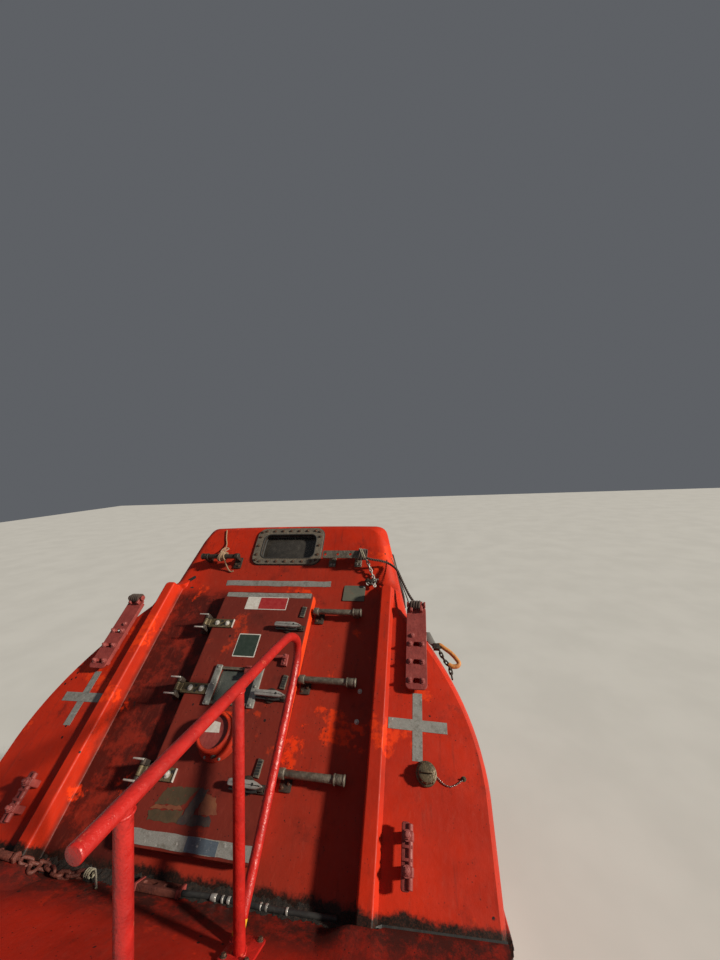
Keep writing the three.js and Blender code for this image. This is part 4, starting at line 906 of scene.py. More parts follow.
def make_canopy():
    rings = [canopy_ring(0, 0.105 * (1 - math.cos(turn)), -0.045 + 0.126 * math.sin(turn))
             for turn in (math.radians(90 - 7.5 * k) for k in range(13))]
    rings += [canopy_ring(y) for y in spaced(0.1, 5.86, 0.06)]
    rings += [canopy_ring(5.885, 0.004), canopy_ring(5.9, 0.014)]
    shell = solid(Piece(BOAT).skin(rings), "canopy")
    shaves = []
    for side in (-1, 1):
        place = (Matrix.Translation((side * RIDGE_IN, 0.9, PANEL))
                 @ Matrix.Rotation(side * math.atan(SLOPE), 4, "Y"))
        x0, x1 = sorted((0, side * 1.2))
        shaves.append(solid(Piece(STERN).box(x0, x1, -1.6, 1.6, 0, 0.4, place)))
    combine(shell, shaves, "DIFFERENCE")
    corners = [(0.785, -0.2), (0.785, 1.48), (0.764, 1.5), (0.738, 1.64), (0.722, 1.8), (0.7, 2.02)]
    outline = filleted(mirrored(corners), 0.008)
    levels = ((0, 0.009), (0.002, 0.004), (0.006, 0.001), (0.012, 0), (0.052, -0.002), (0.068, -0.005),
              (0.077, -0.011), (0.0815, -0.022), (0.083, -0.04), (0.4, -0.05))
    recess = solid(Piece(STERN).skin([[(x, s, n) for x, s in inset_outline(outline, amount)]
                                      for n, amount in levels]))
    under_band = [(BAND_FOOT, -0.01), (2.3, -0.01), (2.3, BAND_RISE * (2.3 - BAND_FOOT)), (BAND_FOOT, 0)]
    combine(recess, [solid(Piece(STERN).skin([[(x, s, n) for s, n in under_band] for x in (-0.9, 0.9)]))],
            "DIFFERENCE")
    combine(shell, [shoulder_cut(), recess], "DIFFERENCE")
    ridges = []
    for side in (-1, 1):
        rings = []
        for s, ease in ((-0.2, 0), (1.452, 0), (1.466, 0.003), (1.475, 0.009), (1.48, 0.02)):
            top = RIDGE_TOP - ease
            profile = ([(RIDGE_IN, -0.03), (0.884, -0.03), (0.882 - ease, 0.045)]
                       + arc(0.848 - ease, top - 0.012, 0.012, 42, 90, 5)
                       + arc(0.799 + ease, top - 0.013, 0.013, 90, 178, 6))
            rings.append([(side * x, s, n) for x, n in profile])
        ridges.append(solid(Piece(STERN).skin(rings)))
    combine(shell, ridges, "UNION")
    coaming = Piece(BOAT).slab(-HATCH_HALF, HATCH_HALF, HATCH_AFT, HATCH_FORE, 0.07, 3.0, COAMING_TOP,
                               ease=0.008)
    flange = Piece(BOAT).slab(-0.345, 0.345, 1.075, 1.72, 0.1, 2.98, 3.094, ease=0.006)
    combine(shell, [solid(coaming), solid(flange)], "UNION")
    inner = [canopy_ring(0, SHELL, -SHELL, False)]
    inner += [canopy_ring(y, SHELL, 0, False) for y in spaced(0.25, 5.6, 0.25)]
    combine(shell, [solid(Piece(BOAT).skin(inner))], "DIFFERENCE")
    hatchway = Piece(BOAT).slab(-0.25, 0.25, 1.17, 1.65, 0.045, 2.8, 3.4)
    doorway = Piece(STERN).slab(-0.32, 0.283, 0.135, 1.395, 0.05, -0.12, 0.06)
    aft = Piece(BAND).prism(rounded(*AFT_GLASS), -0.25, 0.15)
    tools = [solid(hatchway), solid(doorway), solid(aft)]
    for name in WINDOWS:
        place, (w, h) = window_place(name)
        tools.append(solid(Piece(place).slab(-w, w, -h, h, 0.06, -0.16, 0.16)))
    line = [(y, sheer(y) + GAP) for y in (-1.6, *spaced(-1, 5.9, 0.1), 6.5)]
    below = [(6.5, -2.0), (-1.6, -2.0)]
    tools.append(solid(Piece(BOAT).skin([[(x, y, z) for y, z in line + below] for x in (-2.5, 2.5)])))
    combine(shell, tools, "DIFFERENCE")
    dress(shell, HULL, "canopy", 30, ("canopy_stern", "canopy", "canopy_bow"))
    soften(shell)


def make_hull():
    rings = [hull_ring(-1.0, -0.022), hull_ring(-0.994, -0.009), hull_ring(-0.98, -0.002)]
    rings += [hull_ring(y) for y in spaced(-0.965, 5.87, 0.08)]
    rings += [hull_ring(5.889, -0.005), hull_ring(5.9, -0.018)]
    shell = solid(Piece(BOAT).skin(rings), "hull")
    inner = [hull_ring(y, -SHELL, False, True) for y in spaced(0.06, 5.6, 0.25)]
    combine(shell, [solid(Piece(BOAT).skin(inner))], "DIFFERENCE")
    dress(shell, HULL, "hull", 30, ("hull",))
    shell.data.materials.append(PAINT["deck"])
    up = BOAT.to_3x3() @ Vector((0, 0, 1))
    for face in shell.data.polygons:
        if face.normal.dot(up) > 0.9 and (BOAT.inverted() @ face.center).z > DECK - 0.02:
            face.material_index = 1
    soften(shell)


make_canopy()
make_hull()


# Joint between hull and canopy, and the D-section fender below it
def rim_path(offset, start=-1.0):
    """Points round the boat's rim in plan, from the port quarter round the bow to starboard."""
    starboard = [(half_beam(y) + offset, y) for y in spaced(start, 5.84, 0.07)]
    x, y = starboard[-1]
    tip = BOW + offset
    starboard += curve_through((x, y), (x * 0.82, tip), (x * 0.2, tip), 5, first=1)
    port = [(-px, py) for px, py in starboard]
    return port + starboard[::-1]


def rim_sweep(piece, profile, height, start=-1.0):
    """Sweeps a profile of (out, up) along the rim."""
    path = rim_path(0.0, start)
    rings = []
    for i, (x, y) in enumerate(path):
        before = Vector(path[max(0, i - 1)])
        after = Vector(path[min(len(path) - 1, i + 1)])
        along = (after - before).normalized()
        out = Vector((-along.y, along.x))
        rings.append([(x + out.x * a, y + out.y * a, sheer(y) + height + up) for a, up in profile])
    return piece.skin(rings)


def make_rim():
    profile = [(-0.012, -0.055), (0.008, -0.055)]
    profile += [(0.008 + 0.034 * math.cos(a), 0.052 * math.sin(a))
                for a in (math.radians(d) for d in range(-80, 81, 16))]
    profile += [(0.008, 0.055), (-0.012, 0.055)]
    belt = rim_sweep(Piece(BOAT), profile, -0.15)
    belt.make("fender", HULL, "rubber", 40, replaces=("fender_belt",))
    flange = rim_sweep(Piece(BOAT), [(-0.01, -0.026), (0.012, -0.026), (0.017, -0.02), (0.017, 0.02),
                                     (0.012, 0.026), (-0.01, 0.026)], 0.0, start=0.03)
    flange.make("rim_flange", HULL, "canopy", 30)
    bead = rim_sweep(Piece(BOAT), [(0.012, -0.005), (0.02, -0.004), (0.02, 0.004), (0.012, 0.005)], 0.0,
                     start=0.03)
    bead.make("rim_sealant", HULL, "black", 60)
    bolts = Piece(BOAT)
    path = rim_path(0.0392)
    for i in range(4, len(path) - 4, 5):
        x, y = path[i]
        before, after = Vector(path[i - 1]), Vector(path[i + 1])
        along = (after - before).normalized()
        out = Vector((-along.y, along.x, 0))
        at = Matrix.Translation((x, y, sheer(y) - 0.15)) @ turned(*out)
        bolts.bolt(0, 0, -0.003, 0.008, 0.005, at)
    bolts.make("fender_bolts", HULL, "bolt")


make_rim()


# The stern door, its light, straps, hinges, dogs and vent
def make_door():
    leaf = Piece(STERN).slab(*DOOR, 0.045, GAP, DOOR_FACE, ease=0.015, steps=8)
    door = solid(leaf, "door")
    light = Piece(STERN).slab(*DOOR_LIGHT, 0.025, -0.02, 0.12)
    combine(door, [solid(light)], "DIFFERENCE")
    dress(door, "door", "door", 30, ("stern_door",))
    soften(door)
    seal = Piece(STERN)
    seal.bead(rounded(-0.335, 0.298, 0.12, 1.41, 0.05, 5), -0.001, 0.006)
    seal.make("door_seal", "door", "rubber")


def make_door_light():
    """Dark glass between two grey clamping bars, with a hook bracket over it."""
    left, right, foot, top = DOOR_LIGHT
    pane = Piece(STERN).slab(left + 0.001, right - 0.001, foot + 0.001, top - 0.001, 0.022, 0.048, 0.066,
                             ease=0.002)
    pane.make("door_glass", "door", "door_glass", replaces=("door_pane",))
    bars = Piece(STERN)
    for x0, x1 in ((left - 0.036, left + 0.004), (right - 0.004, right + 0.038)):
        bars.slab(x0, x1, foot - 0.022, top + 0.022, 0.006, 0.0755, 0.0895, ease=0.0025, steps=3)
        for s in (foot - 0.008, (foot + top) / 2, top + 0.008):
            bars.bolt((x0 + x1) / 2, s, 0.089, 0.0065, 0.006)
    bars.make("door_light_frame", "door", "bar")
    ends = Piece(STERN)
    for s0, s1 in ((foot - 0.014, foot + 0.002), (top - 0.002, top + 0.014)):
        ends.slab(left + 0.004, right - 0.004, s0, s1, 0.004, 0.0755, 0.0835, ease=0.002, steps=3)
    ends.make("door_light_ends", "door", "frame")
    hook = Piece(STERN).box(-0.005, 0.04, 0.868, 0.915, 0.0865, 0.0955)
    hook.box(0.008, 0.03, 0.85, 0.878, 0.094, 0.112)
    hook.rod((0.0, 0.905, 0.103), (0.036, 0.905, 0.103), 0.0055, 10)
    hook.make("door_light_hook", "door", "dark_red", bevel=0.002)
    lever = Piece(STERN)
    lever.rod((0.122, 0.966, 0.1), (0.222, 0.979, 0.1), 0.0085, 12, ease=0.002)
    lever.prism([(0.212, 0.93), (0.25, 0.926), (0.246, 0.994), (0.208, 0.992)], 0.0758, 0.093,
                ease=0.002)
    lever.box(0.216, 0.24, 0.964, 0.992, 0.092, 0.107)
    lever.make("door_latch", "door", "dark_red", bevel=0.0015)
    studs = Piece(STERN)
    for s in (0.94, 0.96, 0.984):
        studs.bolt(0.232, s, 0.0928 if s < 0.963 else 0.1068, 0.0055, 0.005)
    studs.make("door_latch_studs", "door", "link_bolt")


HINGES = (1.18, 0.775, 0.37)
HINGE_X, HINGE_OUT = -0.4, 0.095


def make_hinges():
    """Broad straps on the door, low dark knuckles on bolted feet, and pins held by two clips."""
    for k, s in enumerate(HINGES):
        strap = Piece(STERN)
        strap.slab(HINGE_X + 0.022, -0.204, s - 0.029, s + 0.029, 0.004, 0.0755, 0.0845, ease=0.002,
                   steps=3)
        strap.prism(rectangle(HINGE_X - 0.006, HINGE_X + 0.03, s - 0.0215, s + 0.0215), 0.078, 0.0905,
                    ease=0.002)
        strap.make(f"hinge_strap_{k + 1}", "door", "strap", bevel=0.0012)
        # Painted highlight: a bright strip on each strap's starboard end, where the sun catches it.
        highlight = Piece(STERN).box(-0.2045, -0.2005, s - 0.028, s + 0.028, 0.0764, 0.0895)
        highlight.make(f"hinge_highlight_{k + 1}", "door", "chrome")
        knuckle = Piece(STERN)
        knuckle.rod((HINGE_X, s - 0.0215, HINGE_OUT), (HINGE_X, s + 0.0215, HINGE_OUT), 0.0125, 20,
                    ease=0.002)
        knuckle.make(f"hinge_knuckle_{k + 1}", "door", "strap")
        fixing = Piece(STERN)
        for x in (-0.318, -0.244):
            fixing.bolt(x, s, 0.0843, 0.0125, 0.01)
            fixing.rod((x, s, 0.09), (x, s, 0.1), 0.0062, 12, ease=0.001)
        fixing.make(f"hinge_bolts_{k + 1}", "door", "chrome")
        # Painted shade: black slabs stand for the slots in each strap.
        slots = Piece(STERN)
        for x, lift in ((-0.285, 0.013), (-0.281, -0.014), (-0.222, 0.013)):
            slots.slab(x - 0.0085, x + 0.0085, s + lift - 0.0075, s + lift + 0.0075, 0.006, 0.0843,
                       0.0851, steps=3)
        slots.make(f"hinge_slots_{k + 1}", "door", "black")
        foot = Piece(STERN)
        foot.slab(-0.462, HINGE_X + 0.016, s - 0.048, s + 0.048, 0.01, GAP, 0.016, ease=0.003, steps=4)
        for low in (s - 0.052, s + 0.0235):
            foot.box(HINGE_X - 0.014, HINGE_X + 0.012, low, low + 0.0285, 0.012, HINGE_OUT)
            foot.rod((HINGE_X, low, HINGE_OUT), (HINGE_X, low + 0.0285, HINGE_OUT), 0.0145, 20,
                     ease=0.002)
        for end in (-0.036, 0.036):
            foot.bolt(-0.447, s + end, 0.0155, 0.009, 0.008)
        # Painted shade: the feet are near black, for the shade in which they lie.
        foot.make(f"hinge_foot_{k + 1}", HULL, "near_black_and_shade", bevel=0.002, replaces=(f"hinge_{k + 1}",))
        pin = Piece(STERN)
        for end in (-0.044, 0.046):
            pin.rod((HINGE_X - 0.058, s + end, HINGE_OUT + 0.014),
                    (HINGE_X + 0.006, s + end, HINGE_OUT + 0.014), 0.0048, 10, ease=0.0008)
            pin.rod((HINGE_X, s + end, HINGE_OUT + 0.002), (HINGE_X, s + end, HINGE_OUT + 0.0175),
                    0.0042, 10)
        pin.make(f"hinge_pin_{k + 1}", HULL, "chrome")


DOGS = ((1.17, 1.278, 0.27), (0.765, 0.841, 0.256), (0.366, 0.438, 0.234))


def make_dogs():
    """Bar levers with a pointed end on hubs, each with a block under it and a wedge plate above."""
    for k, (s, wedge_s, wedge_x) in enumerate(DOGS):
        node = f"door_dog_{k + 1}"
        lever = Piece(STERN)
        outline = ([(0.124, s - 0.012), (0.236, s - 0.016), (0.262, s - 0.014),
                    (0.29, s - 0.003), (0.288, s + 0.002), (0.262, s + 0.013),
                    (0.24, s + 0.019)] + arc(0.122, s + 0.005, 0.014, 90, 180, 4)
                   + arc(0.119, s - 0.001, 0.011, 180, 270, 4))
        lever.prism(outline, 0.099, 0.1235, ease=0.0075)
        lever.make(f"dog_lever_{k + 1}", "door", "lever", 28, replaces=(node,))
        # Painted shade: a black disc for the hole in the lever and a black sheet under the lever for its
        # shadow.
        dark = Piece(STERN)
        dark.rod((0.24, s + 0.002, 0.1225), (0.24, s + 0.002, 0.1239), 0.0066, 18)
        dark.prism([(0.116, s - 0.024), (0.238, s - 0.029), (0.262, s - 0.024), (0.262, s + 0.004),
                    (0.112, s + 0.004)], 0.09, 0.101, ease=0.002)
        dark.make(f"dog_hole_and_shadow_{k + 1}", "door", "black")
        base = Piece(STERN)
        base.lathe([(AXIS, DOOR_FACE), (0.04, DOOR_FACE), (0.04, 0.082), (0.036, 0.086), (0.026, 0.088),
                    (0.024, 0.106), (AXIS, 0.106)], Matrix.Translation((0.196, s, 0)), 24)
        base.box(0.236, 0.306, s - 0.026, s + 0.01, DOOR_FACE, 0.088)
        base.box(0.262, 0.292, s - 0.02, s + 0.006, 0.086, 0.102)
        # Painted shade: the base under each lever is near black, for the shadow under the lever.
        base.make(f"dog_base_{k + 1}", "door", "near_black_and_shade", bevel=0.002)
        fixing = Piece(STERN)
        for angle in (40, 140, 220, 320):
            a = math.radians(angle)
            fixing.bolt(0.196 + 0.0315 * math.cos(a), s + 0.0315 * math.sin(a), 0.0835, 0.0045, 0.005,
                        washer=False)
        fixing.bolt(0.247, s - 0.01, 0.0875, 0.006, 0.005)
        fixing.bolt(0.299, s - 0.01, 0.0875, 0.006, 0.005)
        fixing.make(f"dog_bolts_{k + 1}", "door", "bolt")
        plate = Piece(STERN)
        x, t = wedge_x, wedge_s
        plate.prism([(x - 0.018, t - 0.036), (x + 0.014, t - 0.04), (x + 0.019, t + 0.034),
                     (x - 0.01, t + 0.04)], 0.0758, 0.085, ease=0.002)
        plate.make(f"wedge_plate_{k + 1}", "door", "grey_tube")
        # Painted shade: black slabs stand for the slots in each wedge plate.
        slot = Piece(STERN)
        for shift in (-0.024, -0.012, 0.0, 0.012, 0.024):
            slot.slab(x - 0.01 + shift * 0.08, x + 0.012 + shift * 0.08, t + shift - 0.005,
                      t + shift + 0.005, 0.003, 0.0848, 0.0855, steps=3)
        slot.make(f"wedge_slots_{k + 1}", "door", "black")


VENT = (-0.03, 0.555)


def make_vent():
    """Round vent cap on a bolted flange, its sunken front half covered by a blank sticker."""
    at = Matrix.Translation((*VENT, 0))
    cap = Piece(STERN)
    cap.lathe([(AXIS, 0.0764), (0.11, 0.0764), (0.116, 0.078), (0.118, 0.0815), (0.116, 0.085),
               (0.104, 0.087), (0.099, 0.09), (0.098, 0.15), (0.095, 0.164), (0.089, 0.171),
               (0.084, 0.173), (0.08, 0.1715), (0.0775, 0.166), (0.0765, 0.156), (AXIS, 0.155)], at, 56)
    cap.make("vent_cap", "door", "canopy", 25, replaces=("door_vent",))
    front = Piece(STERN).lathe([(AXIS, 0.1553), (0.0755, 0.1553), (0.0755, 0.157), (AXIS, 0.1575)], at,
                               40)
    front.make("vent_front", "door", "dark_red")
    label = Piece(STERN).prism([(-0.08, 0.549), (0.001, 0.552), (-0.008, 0.597), (-0.05, 0.603),
                                (-0.091, 0.594)], 0.1576, 0.1583)
    label.make("vent_label", "door", "white")
    fixing = Piece(STERN)
    for x, s in circle(0.1075, 8, 22.5):
        fixing.bolt(VENT[0] + x, VENT[1] + s, 0.0845, 0.006, 0.006)
    fixing.make("vent_bolts", "door", "bar")
    # Painted shade: a black plug stands for the drain hole.
    drain = Piece(STERN)
    drain.rod((VENT[0] + 0.022, VENT[1] - 0.094, 0.122), (VENT[0] + 0.026, VENT[1] - 0.102, 0.122),
              0.014, 16)
    drain.make("vent_drain", "door", "black")


make_door()
make_door_light()
make_hinges()
make_dogs()
make_vent()


# Tapes, blank signs and worn decals
def ragged_band(x0, x1, s0, s1, seed, amount=0.0022, step=0.05):
    """A band's outline with edges that wander a little, as of a tape laid by hand."""
    rng = random.Random(seed)
    count = max(2, round((x1 - x0) / step))
    low = [(x0 + (x1 - x0) * i / count, s0 + rng.uniform(-amount, amount)) for i in range(count + 1)]
    high = [(x1 - (x1 - x0) * i / count, s1 + rng.uniform(-amount, amount)) for i in range(count + 1)]
    return low + high


def ragged(corners, amount, seed, step=0.014):
    """An outline through corners whose sides wander, as of worn paint."""
    rng = random.Random(seed)
    points = []
    for a, b in zip(corners, corners[1:] + corners[:1]):
        count = max(1, round(math.dist(a, b) / step))
        for i in range(count):
            share = i / count
            points.append((a[0] + (b[0] - a[0]) * share + rng.uniform(-amount, amount),
                           a[1] + (b[1] - a[1]) * share + rng.uniform(-amount, amount)))
    return points


def make_tapes():
    tapes = (
        ("recess", BAND, HULL, "tape", (-0.43, 0.4, 0.018, 0.06, 1), GAP, 0.0014),
        ("door_top", STERN, "door", "tape", (-0.335, 0.3, 1.381, 1.4165, 2, 0.0015), DOOR_FACE, 0.0772),
        ("door_foot", STERN, "door", "tape", (-0.33, 0.3, 0.114, 0.166, 3), 0.0764, 0.0774),
        ("door_segment", STERN, "door", "tape_blue", (-0.022, 0.135, 0.116, 0.164, 4), 0.0775, 0.0782),
    )
    for name, place, body, paint, band, low, high in tapes:
        Piece(place).prism(ragged_band(*band), low, high).make(f"tape_{name}", body, paint)
    cross = Piece(STERN)
    for side in (-1, 1):
        place = on_panel(side * 1.024, 0.685)
        for w, h, low in ((0.025, 0.15, 0.0003), (0.15, 0.025, 0.0012)):
            cross.prism(rectangle(-w, w, -h, h), low, low + 0.0008, place)
    cross.make("tape_crosses", HULL, "tape")
    marks = (("olive_mark_upper", "olive",
              ((-0.256, 0.256), (-0.105, 0.265), (-0.046, 0.336), (-0.216, 0.324))),
             ("olive_mark_lower", "olive",
              ((-0.262, 0.198), (-0.083, 0.2), (-0.091, 0.246), (-0.27, 0.234))),
             ("tan_mark_side", "tan_mark",
              ((-0.007, 0.24), (0.085, 0.249), (0.054, 0.309), (-0.02, 0.318))),
             ("tan_mark_low", "tan_mark",
              ((-0.268, 0.238), (-0.098, 0.249), (-0.106, 0.262), (-0.258, 0.253))),
             ("dark_mark_slope", "dark_mark",
              ((-0.102, 0.201), (-0.05, 0.203), (0.007, 0.333), (-0.042, 0.336))),
             ("dark_mark_foot", "dark_mark",
              ((-0.05, 0.2), (0.07, 0.205), (0.06, 0.238), (-0.035, 0.236))))
    for k, (name, paint, corners) in enumerate(marks):
        height = 0.0763 + 0.0003 * k
        patch = Piece(STERN).prism(ragged(corners, 0.004, 40 + k), height, height + 0.0006)
        patch.make(name, "door", paint)


def make_signs():
    """Blank signs: a white and red pair in a white border, and a dark one below."""
    signs = (
        ("board", "white", (-0.164, 0.14, 1.289, 1.383, 0.004, 2), 0.0764, 0.0774),
        ("red_field", "sign_red", (-0.064, 0.135, 1.294, 1.378, 0.003, 2), 0.0775, 0.078),
        ("lower_border", "white", (-0.13, 0.02, 0.97, 1.117, 0.004, 2), 0.0764, 0.0773),
        ("lower_field", "sign_dark", (-0.124, 0.014, 0.976, 1.111, 0.003, 2), 0.0774, 0.078),
    )
    for name, paint, outline, low, high in signs:
        Piece(STERN).prism(rounded(*outline), low, high).make(f"sign_{name}", "door", paint)
    plate = Piece(STERN).slab(0.505, 0.658, 1.41, 1.53, 0.006, GAP, 0.0064, steps=3)
    plate.make("grey_plate", HULL, "plate")
    fixing = Piece(STERN)
    fixing.bolt(0.648, 1.52, 0.0064, 0.006, 0.005)
    for s in (0.845, 0.693):
        fixing.bolt(0.694, s, GAP, 0.0095, 0.012)
    fixing.make("recess_bolts", HULL, "chrome")
    # Painted shade: black ovals stand for two slots in the band.
    slots = Piece(BAND)
    for x, s, turn in ((-0.742, 0.066, 35), (-0.728, -0.022, 30)):
        at = Matrix.Translation((x, s, 0)) @ Matrix.Rotation(math.radians(turn), 4, "Z")
        slots.slab(-0.034, 0.034, -0.014, 0.014, 0.0135, GAP, 0.0016, at, steps=5)
    slots.make("band_slots", HULL, "black")


make_tapes()
make_signs()


# Rungs, top steps, grab handles, lifting links and filler cap
def rope_turns(centre, radius, rope, turns, pitch, tilt=0.0, spread=(1, 1)):
    """Points of turns of rope round an x axis."""
    x, y, z = centre
    width, depth = (radius + rope) * spread[0], (radius + rope) * spread[1]
    points = []
    for i in range(turns * 20 + 1):
        a = 2 * math.pi * i / 20
        points.append((x + pitch * i / 20 + tilt * math.cos(a), y + width * math.cos(a),
                       z + depth * math.sin(a)))
    return points


def make_rung(name, place, inner, outer, s, out, node, paint="grey_tube"):
    """Tube with a ribbed collar at its outer end and a collar on a bolted bracket inside."""
    away = 1 if outer > inner else -1
    tube = Piece(place)
    tube.rod((inner, s, out), (outer, s, out), 0.018, 24, ease=0.003)
    tube.rod((inner - away * 0.001, s, out), (inner + away * 0.034, s, out), 0.0245, 24, ease=0.004)
    tube.rod((outer - away * 0.056, s, out), (outer + away * 0.001, s, out), 0.0228, 24, ease=0.002)
    for start in (0.058, 0.01):
        tube.rod((outer - away * start, s, out), (outer - away * (start - 0.009), s, out), 0.025, 24,
                 ease=0.002)
    x0, x1 = sorted((outer - away * 0.056, outer - away * 0.02))
    tube.box(x0, x1, s - 0.016, s + 0.016, GAP, out)
    x0, x1 = sorted((inner + away * 0.008, inner + away * 0.034))
    tube.box(x0, x1, s - 0.014, s + 0.014, 0.006, out)
    tube.make(name, HULL, paint, 40, bevel=0.0015, replaces=(node,))
    plate = Piece(place)
    x0, x1 = sorted((inner + away * 0.002, inner + away * 0.064))
    plate.slab(x0, x1, s - 0.066, s + 0.026, 0.008, GAP, 0.011, ease=0.002, steps=4)
    plate.make(name + "_bracket", HULL, "near_black_and_shade", 30)
    fixing = Piece(place)
    for dx, ds in ((0.018, -0.048), (0.05, -0.03), (0.052, 0.014)):
        fixing.bolt(inner + away * dx, s + ds, 0.0105, 0.0075, 0.008)
    fixing.make(name + "_bolts", HULL, "bolt")


TOP_STEP = (0.327, 0.64, 0.239)


def make_top_step():
    """Flat bar with three holes, standing off on two legs with bolted feet."""
    x0, x1, s = TOP_STEP
    plate = Piece(BAND).slab(x0, x1, s - 0.031, s + 0.031, 0.01, 0.074, 0.083, ease=0.0015, steps=4)
    bar = solid(plate, "top_step_bar")
    holes = [solid(Piece(BAND).rod((x0 + d, s, 0.06), (x0 + d, s, 0.1), 0.0105, 20))
             for d in (0.02, 0.116, 0.212)]
    combine(bar, holes, "DIFFERENCE")
    dress(bar, HULL, "grey_tube", 30, ("top_step_starboard",))
    soften(bar)
    legs = Piece(BAND)
    fixing = Piece(BAND)
    for x in (x0 + 0.05, x1 - 0.064):
        legs.box(x, x + 0.012, s - 0.026, s + 0.026, 0.004, 0.076)
        legs.slab(x - 0.014, x + 0.04, s - 0.066, s + 0.026, 0.006, GAP, 0.01, ease=0.002, steps=3)
        for dx in (0.006, 0.029):
            fixing.bolt(x + dx, s - 0.048, 0.0095, 0.008, 0.009)
    legs.make("top_step_legs", HULL, "grey_tube", bevel=0.0015)
    fixing.make("top_step_bolts", HULL, "stainless")


def make_grab(side, name):
    x = side * 0.985
    base = panel_out(0.97) + GAP
    bar = Piece(STERN)
    bar.slab(x - 0.026, x + 0.01, 0.107, 0.311, 0.01, 0.112, 0.1242, ease=0.003, steps=4)
    bar.rod((x + 0.01, 0.112, 0.12), (x + 0.01, 0.306, 0.12), 0.013, 18, ease=0.003)
    for s in (0.163, 0.267):
        bar.slab(x - 0.0245, x + 0.0245, s - 0.0165, s + 0.0165, 0.006, base, 0.1345, ease=0.003,
                 steps=4)
    for s in (0.196, 0.234):
        bar.box(x - 0.0225, x + 0.0225, s - 0.005, s + 0.005, 0.116, 0.1325)
    bar.make(f"grab_{name}", HULL, "dark_red", bevel=0.0015, replaces=(f"grab_handle_{name}",))
    fixing = Piece(STERN)
    for s in (0.163, 0.267):
        fixing.bolt(x, s, 0.134, 0.0145, 0.014)
        fixing.rod((x, s, 0.14), (x, s, 0.16), 0.008, 12, ease=0.001)
    fixing.make(f"grab_{name}_bolts", HULL, "link_bolt")


LINK_SLOTS = (0.885, 0.985, 1.085)
# The shackle pin's height up the slope and out from it
LINK_PIN = (1.326, 0.124)


def make_link(side, name):
    """Stand-off plate with a slot between each pair of bolts, turned edges and a shackle pin."""
    x0, x1, low, high = 0.962, 1.08, 0.841, 1.325
    mid = (x0 + x1) / 2
    flip = Matrix.Scale(side, 4, Vector((1, 0, 0)))
    plate = solid(Piece(STERN).slab(x0, x1, low, high, 0.024, 0.0955, 0.1082, flip, ease=0.0025,
                                    steps=6), "link")
    cuts = [solid(Piece(STERN).slab(mid - 0.02, mid + 0.02, s - 0.013, s + 0.013, 0.012, 0.05, 0.15,
                                    flip, steps=5)) for s in LINK_SLOTS]
    combine(plate, cuts, "DIFFERENCE")
    dress(plate, HULL, "dark_red", 30, (f"lifting_link_{name}",))
    soften(plate)
    plate.name = f"link_plate_{name}"
    rest = Piece(STERN)
    for x in (x0, x1 - 0.01):
        rest.box(x, x + 0.01, low + 0.026, high - 0.026, 0.08, 0.098, flip)
    for x in (mid - 0.04, mid + 0.022):
        rest.prism(rectangle(x, x + 0.018, 1.282, 1.346), 0.104, 0.134, flip, ease=0.004)
    rest.rod((mid - 0.056, *LINK_PIN), (mid + 0.056, *LINK_PIN), 0.0115, 16, ease=0.002, at=flip)
    for x in (mid - 0.058, mid + 0.046):
        rest.rod((x, *LINK_PIN), (x + 0.012, *LINK_PIN), 0.019, 8, ease=0.002, at=flip)
    rest.make(f"link_edges_{name}", HULL, "dark_red", bevel=0.002)
    fixing = Piece(STERN)
    for s in LINK_SLOTS:
        for end in (-0.035, 0.035):
            fixing.rod((mid + end, s, panel_out(x0) - 0.004), (mid + end, s, 0.098), 0.013, 16, at=flip)
            fixing.bolt(side * (mid + end), s, 0.108, 0.0125, 0.013)
            fixing.rod((mid + end, s, 0.118), (mid + end, s, 0.132), 0.0072, 12, ease=0.001, at=flip)
    fixing.bolt(side * (mid - 0.022), 1.135, 0.108, 0.011, 0.012)
    fixing.make(f"link_bolts_{name}", HULL, "link_bolt")


def chain(piece, points, wire, pitch):
    """Links along a line of points, each a quarter turn from the last."""
    points = [Vector(p) for p in points]
    lengths = [0.0]
    for a, b in zip(points, points[1:]):
        lengths.append(lengths[-1] + (b - a).length)

    def at(d):
        d = min(max(d, 0), lengths[-1])
        i = next(k for k in range(len(lengths) - 1) if lengths[k + 1] >= d - 1e-9)
        share = (d - lengths[i]) / max(1e-9, lengths[i + 1] - lengths[i])
        return points[i].lerp(points[i + 1], share)

    count = max(1, int(lengths[-1] / pitch))
    for k in range(count):
        a, b = at(k * pitch), at((k + 1) * pitch)
        along, side, third = basis_along(a, b)
        flat = side if k % 2 else third
        centre = (a + b) / 2
        half = pitch / 2 + wire * 0.9
        width = wire * 1.7
        ring = []
        for c, s in circle(1, 16):
            straight = (half - width) * (1 if c > 0 else -1) if abs(c) > 1e-6 else 0
            ring.append(centre + along * (straight + width * c) + flat * (width * s))
        piece.tube(ring, wire, 8, closed=True)
    return piece


def shackle(piece, at, across, down, width, depth, wire):
    """A bow with a pin across its ends, hanging down from its pin."""
    at, across, down = Vector(at), Vector(across).normalized(), Vector(down).normalized()
    bow = []
    for i in range(15):
        t = math.pi * i / 14
        bow.append(at + across * (width / 2 * math.cos(t)) + down * (depth * math.sin(t) ** 0.8))
    piece.tube(bow, wire, 10)
    for end in (-1, 1):
        piece.rod(at + across * (end * width / 2 - wire * 1.1),
                  at + across * (end * width / 2 + wire * 1.1), wire * 1.7, 12, ease=wire * 0.2)
    reach = width / 2 + wire * 2.6
    piece.rod(at - across * reach, at + across * reach, wire * 0.95, 12, ease=wire * 0.15)
    piece.rod(at + across * reach, at + across * (reach + wire * 1.2), wire * 1.5, 6)
    return piece


